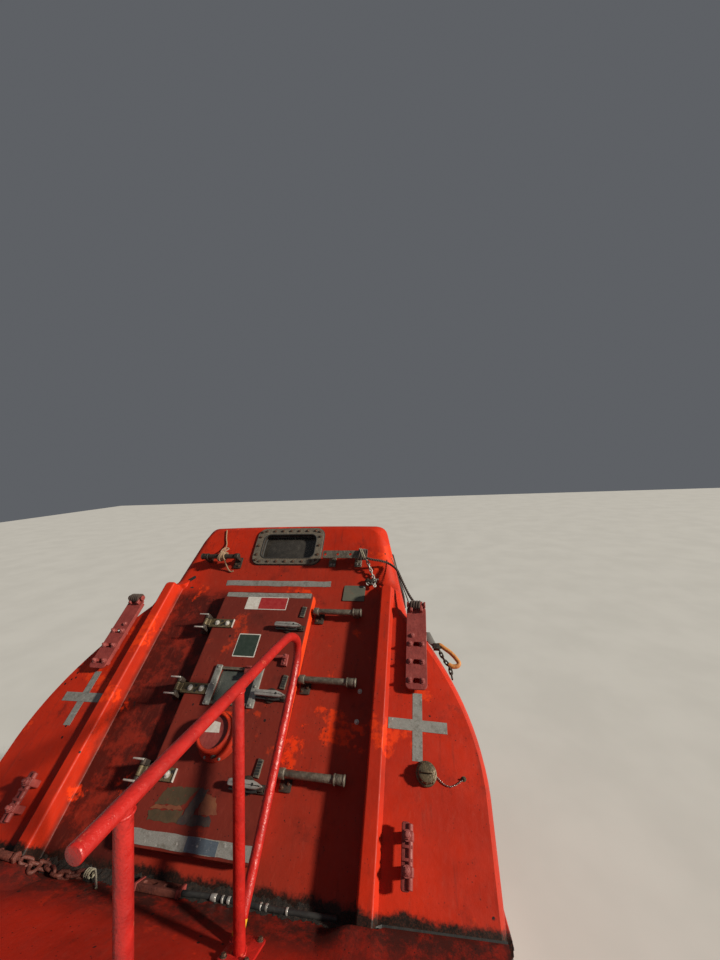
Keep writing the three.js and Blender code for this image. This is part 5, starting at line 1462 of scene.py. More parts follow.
def make_cap():
    place = on_panel(1.064, 0.491)
    cap = Piece(STERN)
    cap.lathe([(AXIS, GAP), (0.05, GAP), (0.05, 0.009), (0.047, 0.012), (0.041, 0.013), (0.0405, 0.038),
               (0.037, 0.043), (0.026, 0.045), (AXIS, 0.045)], place, 40)
    for x, y in circle(0.0395, 12):
        cap.rod((x, y, 0.016), (x, y, 0.039), 0.0042, 8, at=place)
    cap.box(-0.028, 0.028, -0.0045, 0.0045, 0.043, 0.06, place)
    cap.make("filler_lid", HULL, "bronze", 30, bevel=0.001, replaces=("filler_cap",))
    fixing = Piece(STERN)
    for x, y in circle(0.0455, 4, 45):
        fixing.bolt(x, y, 0.0118, 0.0036, 0.004, place, washer=False)
    pin = on_panel(1.238, 0.49)
    fixing.bolt(0, 0, 0.0, 0.008, 0.007, pin)
    fixing.rod((0, 0, 0), (0, 0, 0.016), 0.0035, 10, at=pin)
    fixing.make("filler_fixings", HULL, "bronze")
    line = Piece(STERN)
    points = []
    for i in range(25):
        t = i / 24
        x = 1.11 + 0.128 * t
        s = 0.489 - 0.04 * math.sin(math.pi * t) * (1 - 0.3 * t) + 0.001 * t
        points.append((x, s, panel_out(x) + 0.004))
    chain(line, points, 0.0012, 0.0085)
    line.make("filler_chain", HULL, "stainless", 60)


for k, (outer, s) in enumerate(((0.677, 0.432), (0.677, 0.872), (0.66, 1.3))):
    make_rung(f"recess_rung_{k + 1}", STERN, 0.335, outer, s, 0.052, f"rung_{k + 1}")
make_rung("top_rung_port", BAND, -0.35, -0.668, 0.221, 0.081, "top_step_port", "near_black_and_shade")
make_top_step()
for side, name in SIDES:
    make_grab(side, name)
    make_link(side, name)
make_cap()


# Aft window: bolted frame, glass and its gasket
def make_aft_window():
    left, right, foot, top, corner = AFT_FRAME
    x0, x1, y0, y1, round_by = AFT_GLASS
    frame = solid(Piece(BAND).slab(left, right, foot, top, corner, GAP, 0.014, ease=0.003, steps=10),
                  "aft_frame")
    hole = rounded(x0 + 0.004, x1 - 0.004, y0 + 0.004, y1 - 0.004, round_by, 8)
    combine(frame, [solid(Piece(BAND).prism(hole, -0.05, 0.1))], "DIFFERENCE")
    dress(frame, HULL, "frame", 30, ("aft_window_frame",))
    soften(frame)
    lining = Piece(BAND)
    outer, inner = rounded(x0 + 0.001, x1 - 0.001, y0 + 0.001, y1 - 0.001, round_by, 8), hole
    lining.skin([[(a[0], a[1], -0.027), (a[0], a[1], 0.01), (b[0], b[1], 0.01), (b[0], b[1], -0.027)]
                 for a, b in zip(outer, inner)], closed=True)
    # Painted shade: the window's reveal is near black, so that it reads as shadow.
    lining.make("aft_window_lining", HULL, "near_black_and_shade", 40)
    gasket = Piece(BAND)
    gasket.bead(hole, 0.0125, 0.005)
    gasket.bead(hole, -0.026, 0.007)
    gasket.bead(rounded(left - 0.002, right + 0.002, foot - 0.002, top + 0.002, 0.072, 6), 0.001, 0.0045)
    gasket.make("aft_window_gasket", HULL, "rubber")
    glass = Piece(BAND).slab(x0 + 0.002, x1 - 0.002, y0 + 0.002, y1 - 0.002, round_by, -0.04, -0.028,
                             ease=0.002, steps=6)
    glass.make("aft_window_glass", HULL, "glass", replaces=("aft_window_pane",))
    fixing = Piece(BAND)
    spots = [(x, y) for x in spaced(left + 0.072, right - 0.072, 0.07)
             for y in (foot + 0.023, top - 0.027)]
    spots += [(x, y) for y in spaced(foot + 0.082, top - 0.082, 0.078)
              for x in (left + 0.03, right - 0.026)]
    for x, y in spots + [(left + 0.036, foot + 0.036), (right - 0.036, top - 0.036),
                         (left + 0.036, top - 0.036), (right - 0.036, foot + 0.036)]:
        fixing.bolt(x, y, 0.0135, 0.0085, 0.009)
    fixing.make("aft_window_bolts", HULL, "bolt")


make_aft_window()


# Handrails
RAIL_X, RAIL = 0.42, 0.021


def smooth_path(points, per=10):
    """Points on a centripetal curve through given ones."""
    points = [Vector(p) for p in points]
    points = [2 * points[0] - points[1]] + points + [2 * points[-1] - points[-2]]
    path = []
    for a, b, c, d in zip(points, points[1:], points[2:], points[3:]):
        t1 = (b - a).length ** 0.5
        t2 = t1 + (c - b).length ** 0.5
        t3 = t2 + (d - c).length ** 0.5
        for k in range(per):
            t = t1 + (t2 - t1) * k / per
            a1 = a * ((t1 - t) / t1) + b * (t / t1)
            a2 = b * ((t2 - t) / (t2 - t1)) + c * ((t - t1) / (t2 - t1))
            a3 = c * ((t3 - t) / (t3 - t2)) + d * ((t - t2) / (t3 - t2))
            b1 = a1 * ((t2 - t) / t2) + a2 * (t / t2)
            b2 = a2 * ((t3 - t) / (t3 - t1)) + a3 * ((t - t1) / (t3 - t1))
            path.append(b1 * ((t2 - t) / (t2 - t1)) + b2 * ((t - t1) / (t2 - t1)))
    return path + [points[-2]]


def weld(piece, centre, axis, radius, bead=0.004, seed=0):
    """A lumpy bead of weld round an axis."""
    rng = random.Random(seed)
    centre = Vector(centre)
    along, side, third = basis_along(centre, centre + Vector(axis))
    ring = []
    for x, y in circle(1, 28):
        r = radius + bead * (0.3 + 0.35 * rng.random())
        ring.append(centre + r * (side * x + third * y) + along * bead * 0.3 * rng.uniform(-1, 1))
    return piece.tube(ring, bead, 8, closed=True)


def deck_plate(piece, fixing, x, y):
    piece.slab(x - 0.06, x + 0.06, y - 0.075, y + 0.075, 0.012, GAP, 0.0104, ease=0.002, steps=4)
    for dx in (-0.042, 0.042):
        for dy in (-0.057, 0.057):
            fixing.bolt(x + dx, y + dy, 0.01, 0.009, 0.01)


def make_rails():
    def starboard(y, z):
        return (RAIL_X, y, z)

    path = [(RAIL_X + shift, y, z)
            for shift, y, z in ((0, -1.224, 0.557), (0, -0.9, 0.712), (0, -0.56, 0.872),
                                (0, -0.3, 0.996), (0, -0.205, 1.03), (-0.002, -0.095, 1.018),
                                (-0.008, -0.045, 0.95), (-0.012, -0.05, 0.85), (-0.02, -0.105, 0.6),
                                (-0.028, -0.18, 0.29), (-0.036, -0.236, 0.06), (-0.04, -0.25, 0.004))]
    rail = Piece(ON_DECK)
    rail.tube(smooth_path(path, 7), RAIL, 20)
    rail.rod(starboard(-1.119, 0.6), starboard(-0.84, 0.004), RAIL, 20)
    rail.rod(starboard(-0.664, 0.824), starboard(-0.3, 0.004), RAIL, 20)
    rail.rod(starboard(-1.23, 0.554), starboard(-1.219, 0.5595), RAIL + 0.0006, 20, ease=0.004)
    fixing = Piece(ON_DECK)
    for y in (-0.84, -0.281):
        deck_plate(rail, fixing, RAIL_X, y)
    rail.make("handrail", HULL, "rail", 40, replaces=("handrail_starboard",))
    fixing.make("handrail_bolts", HULL, "bolt")
    beads = Piece(ON_DECK)
    weld(beads, starboard(-1.112, 0.59), (0, 0.43, -0.9), RAIL - 0.002, seed=1)
    weld(beads, starboard(-0.658, 0.812), (0, 0.4, -0.91), RAIL - 0.002, seed=2)
    weld(beads, starboard(-0.8405, 0.0125), (0, 0.43, -0.9), RAIL, seed=3)
    weld(beads, starboard(-0.3045, 0.0125), (0, 0.4, -0.91), RAIL, seed=4)
    weld(beads, (RAIL_X - 0.039, -0.248, 0.0125), (0, 0.2, -0.98), RAIL, seed=5)
    beads.make("handrail_welds", HULL, "rail", 80)
    foot = Piece(ON_DECK)
    foot.rod((RAIL_X - 0.0355, -0.235, 0.064), (RAIL_X - 0.0385, -0.2455, 0.02), RAIL + 0.0008, 20)
    foot.make("handrail_painted_foot", HULL, "rail_foot", 40)

    def port(y, z):
        return (-0.95, y, z)

    path = [port(y, z) for y, z in ((-0.84, 0.002), (-1.01, 0.366), (-1.112, 0.585), (-1.09, 0.665),
                                    (-1.0, 0.7), (-0.8, 0.768), (-0.69, 0.8), (-0.63, 0.77),
                                    (-0.59, 0.68), (-0.44, 0.33), (-0.29, 0.002))]
    rail = Piece(ON_DECK)
    rail.tube(smooth_path(path, 7), RAIL, 20)
    fixing = Piece(ON_DECK)
    for y in (-0.84, -0.29):
        deck_plate(rail, fixing, -0.95, y)
    rail.make("handrail_aft_port", HULL, "rail", 40, replaces=("handrail_port",))
    fixing.make("handrail_aft_port_bolts", HULL, "bolt")
    beads = Piece(ON_DECK)
    weld(beads, port(-0.8445, 0.0125), (0, 0.42, -0.9), RAIL, seed=6)
    weld(beads, port(-0.2945, 0.0125), (0, 0.42, 0.9), RAIL, seed=7)
    beads.make("handrail_aft_port_welds", HULL, "rail", 80)


def roof_point(side, y, rise):
    half = sample(CANOPY_LINES, ROOF_HALF, y) - 0.07
    return (side * half, y, sheer(y) + sample(CANOPY_LINES, ROOF_HEIGHT, y) + rise)


def roof_surface(x, y):
    """Height of the roof at x, near its middle."""
    half = canopy_line(ROOF_HALF, y)
    share = min(1, abs(x) / half)
    return sheer(y) + canopy_line(ROOF_HEIGHT, y) + ROOF_CROWN * (1 - share * share)


def make_roof_rails():
    for side, name in SIDES:
        rail = Piece(BOAT)
        stations = spaced(2.52, 5.05, 0.06)
        path = [roof_point(side, y, 0.095) for y in stations]
        rail.tube(path, 0.0152, 16)
        for end, step in ((path[0], -1), (path[-1], 1)):
            rail.rod((end[0], end[1] - step * 0.004, end[2]), (end[0], end[1] + step * 0.004, end[2]),
                     0.0156, 16, ease=0.003)
        fixing = Piece(BOAT)
        for y in (2.56, 3.38, 4.2, 5.01):
            foot = roof_point(side, y, -0.03)
            rail.rod(foot, roof_point(side, y, 0.095), 0.015, 14)
            x = foot[0]
            flange = roof_surface(x, y) - 0.002
            rise = (roof_surface(x, y + 0.05) - roof_surface(x, y - 0.05)) / 0.1
            at = Matrix.Translation((x, y, flange)) @ turned(0, -rise, 1)
            rail.lathe([(AXIS, 0), (0.04, 0), (0.04, 0.008), (0.036, 0.0105), (0.019, 0.012),
                        (AXIS, 0.012)], at, 24)
            for bx, by in circle(0.03, 4, 45):
                fixing.bolt(bx, by, 0.0098, 0.0055, 0.006, at)
        rail.make(f"roof_bar_{name}", HULL, "rail", 40, replaces=(f"roof_rail_{name}",))
        fixing.make(f"roof_bar_bolts_{name}", HULL, "bolt")


make_rails()
make_roof_rails()


# Roof hatch lid and its hinge
def make_hatch():
    lid = Piece(BOAT)
    x, y0, y1 = HATCH_HALF + 0.026, HATCH_AFT - 0.026, HATCH_FORE + 0.026
    outline = rounded(-x, x, y0, y1, 0.08, 8)
    levels = ((GAP, 0.004), (0.003, 0.0), (0.026, 0.0), (0.034, 0.003), (0.04, 0.01), (0.042, 0.022),
              (0.0425, 0.07), (0.044, 0.1))
    lid.skin([[(px, py, COAMING_TOP + rise) for px, py in inset_outline(outline, inset)]
              for rise, inset in levels])
    lid.make("hatch_lid", "hatch", "canopy", 28, replaces=("roof_hatch_lid",))
    hinge = Piece(BOAT)
    hinge.rod((-HINGE_REACH, HINGE_AT, HINGE_HEIGHT), (HINGE_REACH, HINGE_AT, HINGE_HEIGHT), 0.014, 20,
              ease=0.002)
    fixing = Piece(BOAT)
    for px in (-0.12, 0.09):
        hinge.box(px, px + 0.03, HATCH_FORE - 0.085, HINGE_AT, HINGE_HEIGHT + 0.02,
                  HINGE_HEIGHT + 0.0285)
        hinge.box(px, px + 0.03, HINGE_AT - 0.012, HINGE_AT + 0.006, HINGE_HEIGHT, HINGE_HEIGHT + 0.0285)
        for y in (HATCH_FORE - 0.07, HATCH_FORE - 0.04):
            fixing.bolt(px + 0.015, y, HINGE_HEIGHT + 0.028, 0.008, 0.007)
    hinge.make("hatch_hinge_bar", "hatch", "stainless", bevel=0.002)
    fixing.make("hatch_bolts", "hatch", "bolt")
    handle = Piece(BOAT)
    bend = ((-0.055, 0.04), (-0.055, 0.066), (-0.038, 0.08), (0.038, 0.08), (0.055, 0.066),
            (0.055, 0.04))
    handle.tube(smooth_path([(px, HATCH_AFT + 0.05, COAMING_TOP + z) for px, z in bend], 6), 0.008, 14)
    for px in (-0.055, 0.055):
        handle.rod((px, HATCH_AFT + 0.05, COAMING_TOP + 0.041),
                   (px, HATCH_AFT + 0.05, COAMING_TOP + 0.05), 0.017, 20, ease=0.002)
    handle.make("hatch_handle", "hatch", "stainless")
    ears = Piece(BOAT)
    for px in (-HINGE_REACH - 0.0224, HINGE_REACH + GAP):
        ears.skin([[(x, y, z) for y, z in ([(1.685, 3.045), (1.764, 3.045)]
                                           + arc(HINGE_AT, HINGE_HEIGHT, 0.016, 0, 180, 10)
                                           + [(1.734, 3.15), (1.685, 3.15)])] for x in (px, px + 0.022)])
        ears.rod((px - 0.004, HINGE_AT, HINGE_HEIGHT), (px + 0.026, HINGE_AT, HINGE_HEIGHT), 0.0075, 12,
                 ease=0.001)
    ears.make("hatch_ears", HULL, "canopy", 30, bevel=0.0015)
    seal = Piece(BOAT)
    seal.bead(rounded(-HATCH_HALF + 0.002, HATCH_HALF - 0.002, HATCH_AFT + 0.002, HATCH_FORE - 0.002,
                      0.07, 6), COAMING_TOP - 0.004, 0.005)
    seal.make("hatch_seal", HULL, "rubber")


def make_mast_light():
    """Position light: a stepped base, a stem and a domed lamp."""
    base = roof_surface(0.52, 1.64) - 0.003
    at = Matrix.Translation((0.52, 1.64, base))
    top = 3.03 + 0.33 - base
    stem = Piece(BOAT)
    stem.lathe([(AXIS, 0), (0.06, 0), (0.06, 0.01), (0.052, 0.014), (0.046, 0.062), (0.02, 0.072),
                (0.0175, 0.078), (0.0175, top - 0.098), (0.03, top - 0.094), (0.046, top - 0.09),
                (0.047, top - 0.072), (AXIS, top - 0.07)], at, 36)
    for x, y in circle(0.054, 4, 45):
        stem.bolt(x, y, 0.0095, 0.004, 0.005, at, washer=False)
    stem.make("mast_light_stem", HULL, "frame", 30, replaces=("position_light",))
    dome = Piece(BOAT)
    profile = [(AXIS, top - 0.0705), (0.043, top - 0.0705)]
    profile += [(0.043 * math.cos(a), top - 0.045 + 0.043 * math.sin(a) ** 1.1)
                for a in (math.radians(d) for d in range(0, 90, 9))]
    profile += [(AXIS, top)]
    dome.lathe(profile, at, 36)
    for k in range(3):
        dome.ring([(0.042, top - 0.066 + k * 0.007), (0.0455, top - 0.0645 + k * 0.007),
                   (0.042, top - 0.063 + k * 0.007)], at, 36)
    dome.make("mast_light_dome", HULL, "lamp", 35)


make_hatch()
make_mast_light()


# Windows of the helm's cupola: gasket, clamping ring with bolts, and pane
def make_cupola_windows():
    for name in WINDOWS:
        place, (w, h) = window_place(name)
        pane = Piece(place).slab(-w + 0.0015, w - 0.0015, -h + 0.0015, h - 0.0015, 0.058, -0.0225,
                                 -0.0125, ease=0.0015, steps=8)
        pane.make(name + "_glass", HULL, "glass", replaces=(name.replace("_", "_pane_"),))
        trim = Piece(place)
        for grow, high, thick in ((0.004, 0.004, 0.013), (-0.006, -0.008, 0.008)):
            outline = rounded(-w - grow, w + grow, -h - grow, h + grow, 0.06, 8)
            trim.bead(outline, high, thick, 10)
        trim.make(name + "_gasket", HULL, "rubber")


make_cupola_windows()


# Stern gear: nozzle, propeller, shaft and skeg, release hook
NOZZLE_IN, NOZZLE_OUT, NOZZLE_HALF = 0.245, 0.285, 0.12
SCREW_Y, SCREW_Z = -0.65, 0.15
BLADE_ROOT, BLADE_TIP = 0.026, 0.2095
# The propeller's centre, and the frame there whose z axis points ahead
SCREW_AT = Matrix.Translation((0, SCREW_Y, SCREW_Z))
SCREW_AHEAD = SCREW_AT @ Matrix.Rotation(math.radians(-90), 4, "X")


def make_nozzle():
    profile = [(NOZZLE_IN, -0.118), (0.249, -0.121), (0.268, -0.121), (0.276, -0.116), (0.281, -0.095),
               (0.2845, -0.05), (0.285, 0.01), (0.2845, 0.06), (0.281, 0.095), (0.274, 0.112),
               (0.266, 0.12), (0.258, 0.118), (0.25, 0.102), (0.2455, 0.08), (NOZZLE_IN, 0.05)]
    ring = Piece(BOAT)
    ring.ring(profile, SCREW_AHEAD, 72)
    top = SCREW_Z + NOZZLE_OUT
    ring.rod((0, SCREW_Y, top - 0.02), (0, SCREW_Y, top + 0.062), 0.034, 28, ease=0.003)
    ring.rod((0, SCREW_Y, top - 0.006), (0, SCREW_Y, top + 0.014), 0.058, 28, ease=0.005)
    aft = SCREW_Y - NOZZLE_HALF
    fin = [(aft - 0.15, -0.105), (aft - 0.135, -0.24), (aft + 0.006, -0.262), (aft + 0.006, 0.262),
           (aft - 0.135, 0.24), (aft - 0.15, 0.105)]
    ring.skin([[(x * (0.35 if y < aft - 0.1 else 1), y, SCREW_Z + z) for y, z in fin]
               for x in (-0.009, 0.009)])
    ring.make("nozzle_ring", "nozzle", "dark_red", 35, bevel=0.0015, replaces=("steering_nozzle",))
    fixing = Piece(BOAT)
    for x, y in circle(0.046, 6):
        fixing.bolt(x, SCREW_Y + y, top + 0.0135, 0.0065, 0.007)
    fixing.make("nozzle_bolts", "nozzle", "bolt")


def make_screw():
    wheel = Piece(BOAT)
    wheel.lathe([(AXIS, -0.106), (0.011, -0.106), (0.016, -0.1), (0.03, -0.074), (0.037, -0.055),
                 (0.038, -0.03), (0.038, 0.038), (0.036, 0.0445), (AXIS, 0.0445)], SCREW_AHEAD, 32)
    for blade in range(4):
        turn = SCREW_AT @ Matrix.Rotation(math.pi / 2 * blade, 4, "Y")
        rings = []
        for i in range(13):
            t = i / 12
            r = BLADE_ROOT + (BLADE_TIP - BLADE_ROOT) * t
            chord = 0.062 + 0.09 * math.sin(math.pi * min(1, t * 0.95 + 0.02)) ** 0.8 * (1 - 0.15 * t)
            if t > 0.82:
                chord *= max(0.1, (1 - ((t - 0.82) / 0.18) ** 2)) ** 0.5
            pitch = math.radians(58 - 36 * t)
            thick = 0.0075 * (1 - t) + 0.0016
            skew = 0.01 * t * t
            ring = []
            for u, v in ((-0.5, 0), (-0.3, 0.7), (0, 1), (0.3, 0.75), (0.5, 0), (0.3, -0.35), (0, -0.45),
                         (-0.3, -0.3)):
                a = u * chord + skew
                b = v * thick
                ring.append((a * math.cos(pitch) - b * math.sin(pitch),
                             a * math.sin(pitch) + b * math.cos(pitch), r))
            rings.append(ring)
        wheel.skin(rings, turn)
    wheel.make("screw_wheel", "screw", "bronze", 50, replaces=("propeller",))


make_nozzle()
make_screw()


# Nodes that keep their own shape, by the paint that they get, and how far their edges are eased
KEPT = {
    "hull": "runner_port runner_starboard skeg",
    "engine": "engine_block",
    "stainless": "propeller_shaft bow_fitting",
    "seat": "cabin_seating",
    "panel": "helm_console",
    "dark_red": "release_hook",
    "slide": "slide_rail_port slide_rail_starboard",
    "ramp": "ramp_girder_port ramp_girder_starboard ramp_legs_port ramp_legs_starboard ramp_cross_1 "
            "ramp_cross_2 ramp_cross_3 ramp_cross_4 ramp_rear_brace ramp_sill_1 ramp_sill_2",
}
EASE = {"runner_port": 0.012, "runner_starboard": 0.012, "skeg": 0.008, "engine_block": 0.02,
        "cabin_seating": 0.018, "helm_console": 0.014, "bow_fitting": 0.003, "release_hook": 0.004}


def dress_kept():
    for paint, names in KEPT.items():
        for name in names.split():
            obj = nodes[name]
            obj.data.materials.clear()
            obj.data.materials.append(PAINT[paint])
            for face in obj.data.polygons:
                face.use_smooth = False
            bevel = obj.modifiers.new("ease", "BEVEL")
            bevel.width = EASE.get(name, 0.003)
            bevel.segments = 3
            bevel.limit_method = "ANGLE"
            bevel.angle_limit = math.radians(40)


dress_kept()


# Sling, knots, chains and the fittings and dirt along the foot of the stern bulkhead
def on_band(x, t, h):
    return tuple(STERN.inverted() @ BAND @ Vector((x, t, h)))


def on_deck(x, y, h):
    return tuple(STERN.inverted() @ ON_DECK @ Vector((x, y, h)))


def make_sling():
    """Rope kept taut from the top step over the canopy's shoulder to the lifting link."""
    rope = Piece(STERN)
    path = [on_band(*p) for p in ((0.64, 0.212, 0.092), (0.7, 0.199, 0.078), (0.77, 0.197, 0.056),
                                  (0.822, 0.19, 0.03))]
    path += [(0.884, 1.612, 0.088), (0.914, 1.547, 0.088), (0.969, 1.415, 0.108), (1.01, 1.338, 0.126)]
    rope.tube(smooth_path(path, 9), 0.0088, 14, strands=3, lay=0.055)
    for x in (0.992, 1.008, 1.024, 1.04):
        rope.hoop((x, *LINK_PIN), (0.004, 0.0195, 0), (0, 0, 0.0195), 0.0078, 10)
    rope.make("sling_rope", HULL, "rope_dark", 60)
    strand = Piece(STERN)
    path = [on_band(0.835, 0.25, 0.004), (0.876, 1.64, 0.062), (0.905, 1.545, 0.076),
            (0.947, 1.43, 0.09), (0.972, 1.35, 0.112)]
    strand.tube(smooth_path(path, 8), 0.0042, 10, strands=3, lay=0.03)
    strand.make("sling_strand", HULL, "rope_pale", 60)
    knot = Piece(BAND)
    knot.tube(rope_turns((0.606, 0.239, 0.0785), 0.031, 0.007, 4, 0.0135, 0, (0.98, 0.52)), 0.007, 10)
    knot.tube(rope_turns((0.612, 0.236, 0.08), 0.036, 0.006, 2, 0.016, 0.014, (0.95, 0.6)), 0.006, 10)
    knot.make("sling_knot", HULL, "rope_dark", 60)
    wraps = Piece(BAND)
    wraps.tube(rope_turns((0.622, 0.24, 0.0795), 0.038, 0.0055, 2, 0.012, -0.016, (0.92, 0.62)), 0.0055,
               10)
    wraps.make("sling_knot_wraps", HULL, "rope_pale", 60)
    links = Piece(BAND)
    chain(links, [(0.655, 0.212, 0.07), (0.668, 0.19, 0.056), (0.683, 0.16, 0.036), (0.7, 0.118, 0.018),
                  (0.716, 0.076, 0.016), (0.727, 0.04, 0.016)], 0.0046, 0.0265)
    shackle(links, (0.716, 0.066, 0.018), (1, 0.2, 0), (0, -1, 0.1), 0.03, 0.034, 0.0052)
    links.make("hanging_chain", HULL, "bar", 60)
    clump = Piece(BAND)
    clump.box(0.668, 0.712, 0.04, 0.058, 0.004, 0.024)
    clump.rod((0.655, 0.062, 0.02), (0.74, 0.05, 0.02), 0.0085, 12, ease=0.002)
    shackle(clump, (0.69, 0.068, 0.02), (1, 0, 0), (0, -1, 0.2), 0.034, 0.036, 0.006)
    clump.make("hanging_shackle", HULL, "near_black_and_shade", 40)
    rings = Piece(BAND)
    for centre in ((0.676, 0.036, 0.026), (0.727, 0.022, 0.026)):
        rings.hoop(centre, (0.0085, 0, 0), (0, 0.0085, 0), 0.0038, 8, 16)
    rings.make("hanging_eyelets", HULL, "white", 60)
    wound = Piece(STERN)
    for x in (-1.052, -1.036, -1.02, -1.004, -0.99):
        wound.hoop((x, *LINK_PIN), (0.006, 0.022, 0), (0, 0, 0.022), 0.009, 10)
    wound.make("sling_rope_port", HULL, "rope_dark", 60)


def make_lashing():
    """A short length of tan line tied round the port top step, its end laid over the band."""
    line = Piece(BAND)
    line.tube(rope_turns((-0.512, 0.221, 0.081), 0.018, 0.0058, 4, 0.0125), 0.0058, 10)
    line.tube(rope_turns((-0.5, 0.221, 0.081), 0.028, 0.0056, 2, 0.01, 0.02), 0.0056, 10)
    for path in (((-0.472, 0.2, 0.07), (-0.462, 0.17, 0.04), (-0.446, 0.142, 0.012),
                  (-0.424, 0.128, 0.0065), (-0.405, 0.134, 0.0065)),
                 ((-0.506, 0.244, 0.098), (-0.52, 0.285, 0.07), (-0.516, 0.322, 0.034),
                  (-0.494, 0.318, 0.03), (-0.488, 0.27, 0.078)),
                 ((-0.498, 0.246, 0.096), (-0.512, 0.3, 0.05), (-0.54, 0.37, 0.01),
                  (-0.566, 0.43, 0.0062), (-0.586, 0.505, 0.0062))):
        line.tube(smooth_path(path, 7), 0.0054, 10, strands=3, lay=0.035)
    line.make("tan_lashing", HULL, "rope_tan", 60)


def make_side_loop():
    """A stiff ochre loop on a bracket at the starboard side, with a few links under it."""
    bracket = Piece(STERN)
    bracket.prism([(1.08, 1.15), (1.112, 1.12), (1.142, 1.12), (1.1, 1.205), (1.078, 1.205)], 0.0, 0.014,
                  ease=0.002)
    bracket.make("side_bracket", HULL, "panel", bevel=0.001)
    fixing = Piece(STERN)
    fixing.box(1.118, 1.156, 1.102, 1.134, -0.012, 0.022)
    fixing.rod((1.112, 1.118, 0.004), (1.166, 1.118, 0.004), 0.009, 12, ease=0.002)
    fixing.make("side_bracket_eye", HULL, "near_black_and_shade", bevel=0.001)
    loop = Piece(STERN)
    path = [(1.139, 1.128), (1.158, 1.13), (1.184, 1.112), (1.22, 1.086), (1.248, 1.054), (1.262, 1.03),
            (1.252, 1.014), (1.222, 1.01), (1.203, 1.02)]
    loop.tube(smooth_path([(x, s, 0.004) for x, s in path], 6), 0.0125, 14)
    loop.make("side_loop", HULL, "strop", 60)
    links = Piece(STERN)
    chain(links, [(1.15, 1.11, 0.002), (1.164, 1.07, 0.002), (1.184, 1.036, 0.002),
                  (1.206, 1.012, 0.002), (1.212, 0.985, 0.0), (1.218, 0.945, -0.004)], 0.0046, 0.026)
    links.make("side_chain", HULL, "near_black_and_shade", 60)


def seam_strip(piece, x0, x1, out, reach, spill, seed):
    """Caked dirt in the corner of wall and deck; out is the wall's offset as a function of x."""
    rng = random.Random(seed)
    rings = []
    high, wide = reach * 0.6, spill * 0.6
    for x in spaced(x0, x1, 0.007):
        n = out(x)
        foot = -n / math.tan(RAKE)
        y = foot * math.cos(RAKE) - n * math.sin(RAKE)
        high += (reach * rng.uniform(0.15, 1.0) - high) * 0.38
        wide += (spill * rng.uniform(0.25, 1.0) - wide) * 0.38
        thick = rng.uniform(0.006, 0.011)
        rings.append([(x, foot - 0.004, n - 0.006), (x, foot + high, n + 0.0005),
                      (x, foot + high * 0.6, n + thick * 0.5), (x, foot + thick, n + thick),
                      on_deck(x, y - wide * 0.6, thick * 0.5), on_deck(x, y - wide, 0.0006),
                      on_deck(x, y, -0.004)])
    return piece.skin(rings)


def make_seam():
    """Dirt along the bulkhead's foot, a black joint beside it and the deck's kerb to each side."""
    dirt = Piece(STERN)
    seam_strip(dirt, -0.783, 0.783, lambda _: 0.0, 0.042, 0.085, 51)
    for side, seed in ((-1, 52), (1, 53)):
        ends = sorted((side * 0.888, side * 1.33))
        seam_strip(dirt, *ends, lambda x: panel_out(abs(x)), 0.05, 0.016, seed)
    dirt.make("seam_dirt", HULL, "dirt", 80)
    joint = Piece(STERN)
    kerb = Piece(STERN)
    for side in (-1, 1):
        rings = []
        banks = []
        for x in spaced(0.786, 1.352, 0.02):
            n = 0.0905 if x < 0.886 else panel_out(x)
            foot = -n / math.tan(RAKE)
            rings.append([(side * x, s, out)
                          for s, out in rectangle(foot - 0.002, foot + 0.042, n - 0.004, n + 0.0022)])
        for x in spaced(0.62, 1.352, 0.02):
            n = 0.0905 if x < 0.886 else panel_out(x)
            y = -n / math.tan(RAKE) * math.cos(RAKE) - n * math.sin(RAKE)
            rise = eased((x - 0.62) / 0.16)
            banks.append([on_deck(side * x, y - reach, h * rise - 0.002)
                          for reach, h in ((0.01, 0.0), (0.01, 0.042), (0.013, 0.046), (0.026, 0.046),
                                           (0.04, 0.041), (0.13, 0.004), (0.15, 0.0))])
        joint.skin(rings)
        kerb.skin(banks)
    joint.make("bulkhead_joint", HULL, "black")
    kerb.make("deck_kerb", HULL, "deck", 40)


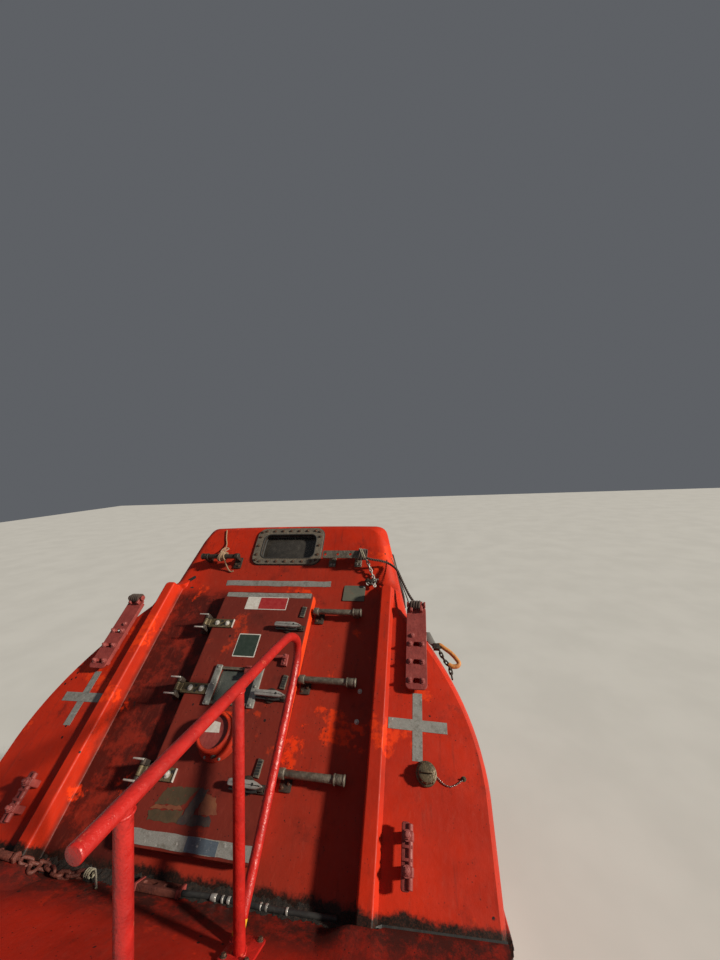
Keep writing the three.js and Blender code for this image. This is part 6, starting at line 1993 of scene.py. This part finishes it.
def make_foot_fittings():
    """Turnbuckle, chain, slotted bracket and clamped hose lying along the seam."""
    iron = Piece(ON_DECK)
    iron.rod((-0.905, -0.128, 0.062), (-0.795, -0.124, 0.056), 0.016, 14, ease=0.003)
    iron.rod((-0.93, -0.129, 0.063), (-0.76, -0.122, 0.054), 0.0075, 12)
    for x in (-0.9, -0.8):
        iron.rod((x, -0.126, 0.06), (x + 0.014, -0.126, 0.06), 0.021, 6)
    iron.make("turnbuckle", HULL, "rusty", bevel=0.001)
    links = Piece(ON_DECK)
    chain(links, [(-0.99, -0.128, 0.052), (-0.93, -0.129, 0.06)], 0.0062, 0.036)
    chain(links, [(-0.762, -0.12, 0.052), (-0.7, -0.075, 0.028), (-0.655, -0.052, 0.016),
                  (-0.6, -0.088, 0.014), (-0.545, -0.084, 0.014), (-0.5, -0.058, 0.014),
                  (-0.455, -0.04, 0.016)], 0.007, 0.038)
    shackle(links, (-0.715, -0.088, 0.034), (0.6, 0.8, 0), (0.6, -0.8, -0.2), 0.04, 0.055, 0.0075)
    links.make("foot_chain", HULL, "rusty", 60)
    knot = Piece(ON_DECK)
    for k in range(3):
        knot.hoop((-0.462 + 0.011 * k, -0.048, 0.02), (0.003, 0.016, 0), (0, 0, 0.014), 0.0042, 8, 18)
    knot.tube(smooth_path([(-0.436, -0.04, 0.032), (-0.41, -0.058, 0.022), (-0.385, -0.078, 0.01),
                           (-0.356, -0.104, 0.005)], 6), 0.0042, 8)
    knot.make("foot_lashing", HULL, "rope_pale", 60)
    box = solid(Piece(ON_DECK).slab(-0.195, 0.015, -0.072, -0.014, 0.006, 0.002, 0.026, ease=0.003,
                                    steps=3), "foot_bracket")
    slots = [solid(Piece(ON_DECK).slab(x - 0.034, x + 0.034, -0.057, -0.031, 0.0125, 0.01, 0.06,
                                       steps=5)) for x in (-0.14, -0.04)]
    combine(box, slots, "DIFFERENCE")
    dress(box, HULL, "rusty")
    trim = Piece(ON_DECK)
    for x in (-0.197, 0.009):
        trim.box(x - 0.003, x + 0.009, -0.074, -0.012, 0.002, 0.029)
    trim.make("foot_bracket_ends", HULL, "dark_red", bevel=0.001)
    hose = Piece(ON_DECK)
    hose.tube(smooth_path([(0.02, -0.044, 0.012), (0.12, -0.032, 0.012), (0.26, -0.03, 0.011),
                           (0.42, -0.034, 0.011), (0.56, -0.026, 0.01), (0.7, -0.016, 0.008)], 6),
              0.0105, 14)
    hose.make("foot_hose", HULL, "black", 60)
    clamps = Piece(ON_DECK)
    for x, wide in ((0.15, 0.026), (0.2, 0.01), (0.226, 0.014), (0.374, 0.009), (0.398, 0.012),
                    (0.488, 0.01)):
        clamps.rod((x, -0.032, 0.0115), (x + wide, -0.032, 0.0115), 0.013, 14, ease=0.002)
    clamps.make("foot_clamps", HULL, "lever", bevel=0.001)


make_sling()
make_lashing()
make_side_loop()
make_seam()
make_foot_fittings()


# Stage and light
def make_stage():
    floor = Piece(WORLD).box(-60, 60, -60, 60, -0.05, -0.002)
    obj = solid(floor, "floor")
    paint = Paint("floor_pale")
    color = paint.mix(paint.band(paint.noise(0.6, 3), 0.3, 0.7), (0.54, 0.54, 0.53), (0.58, 0.58, 0.57))
    obj.data.materials.append(paint.finish(Base_Color=color, Roughness=0.9))
    world = bpy.data.worlds.new("studio")
    world.use_nodes = True
    world.node_tree.nodes["Background"].inputs["Color"].default_value = (0.86, 0.91, 1.0, 1)
    world.node_tree.nodes["Background"].inputs["Strength"].default_value = 0.13
    bpy.context.scene.world = world
    key = bpy.data.lights.new("key", "SUN")
    key.energy = 5.5
    key.angle = math.radians(4)
    key.color = (1.0, 0.92, 0.78)
    lamp = link(bpy.data.objects.new("key", key))
    toward = STERN.to_3x3() @ Vector((2.0, 0.35, 1.0))
    lamp.rotation_euler = toward.to_track_quat("Z", "Y").to_euler()
    bpy.context.scene.view_settings.view_transform = "Standard"


make_stage()
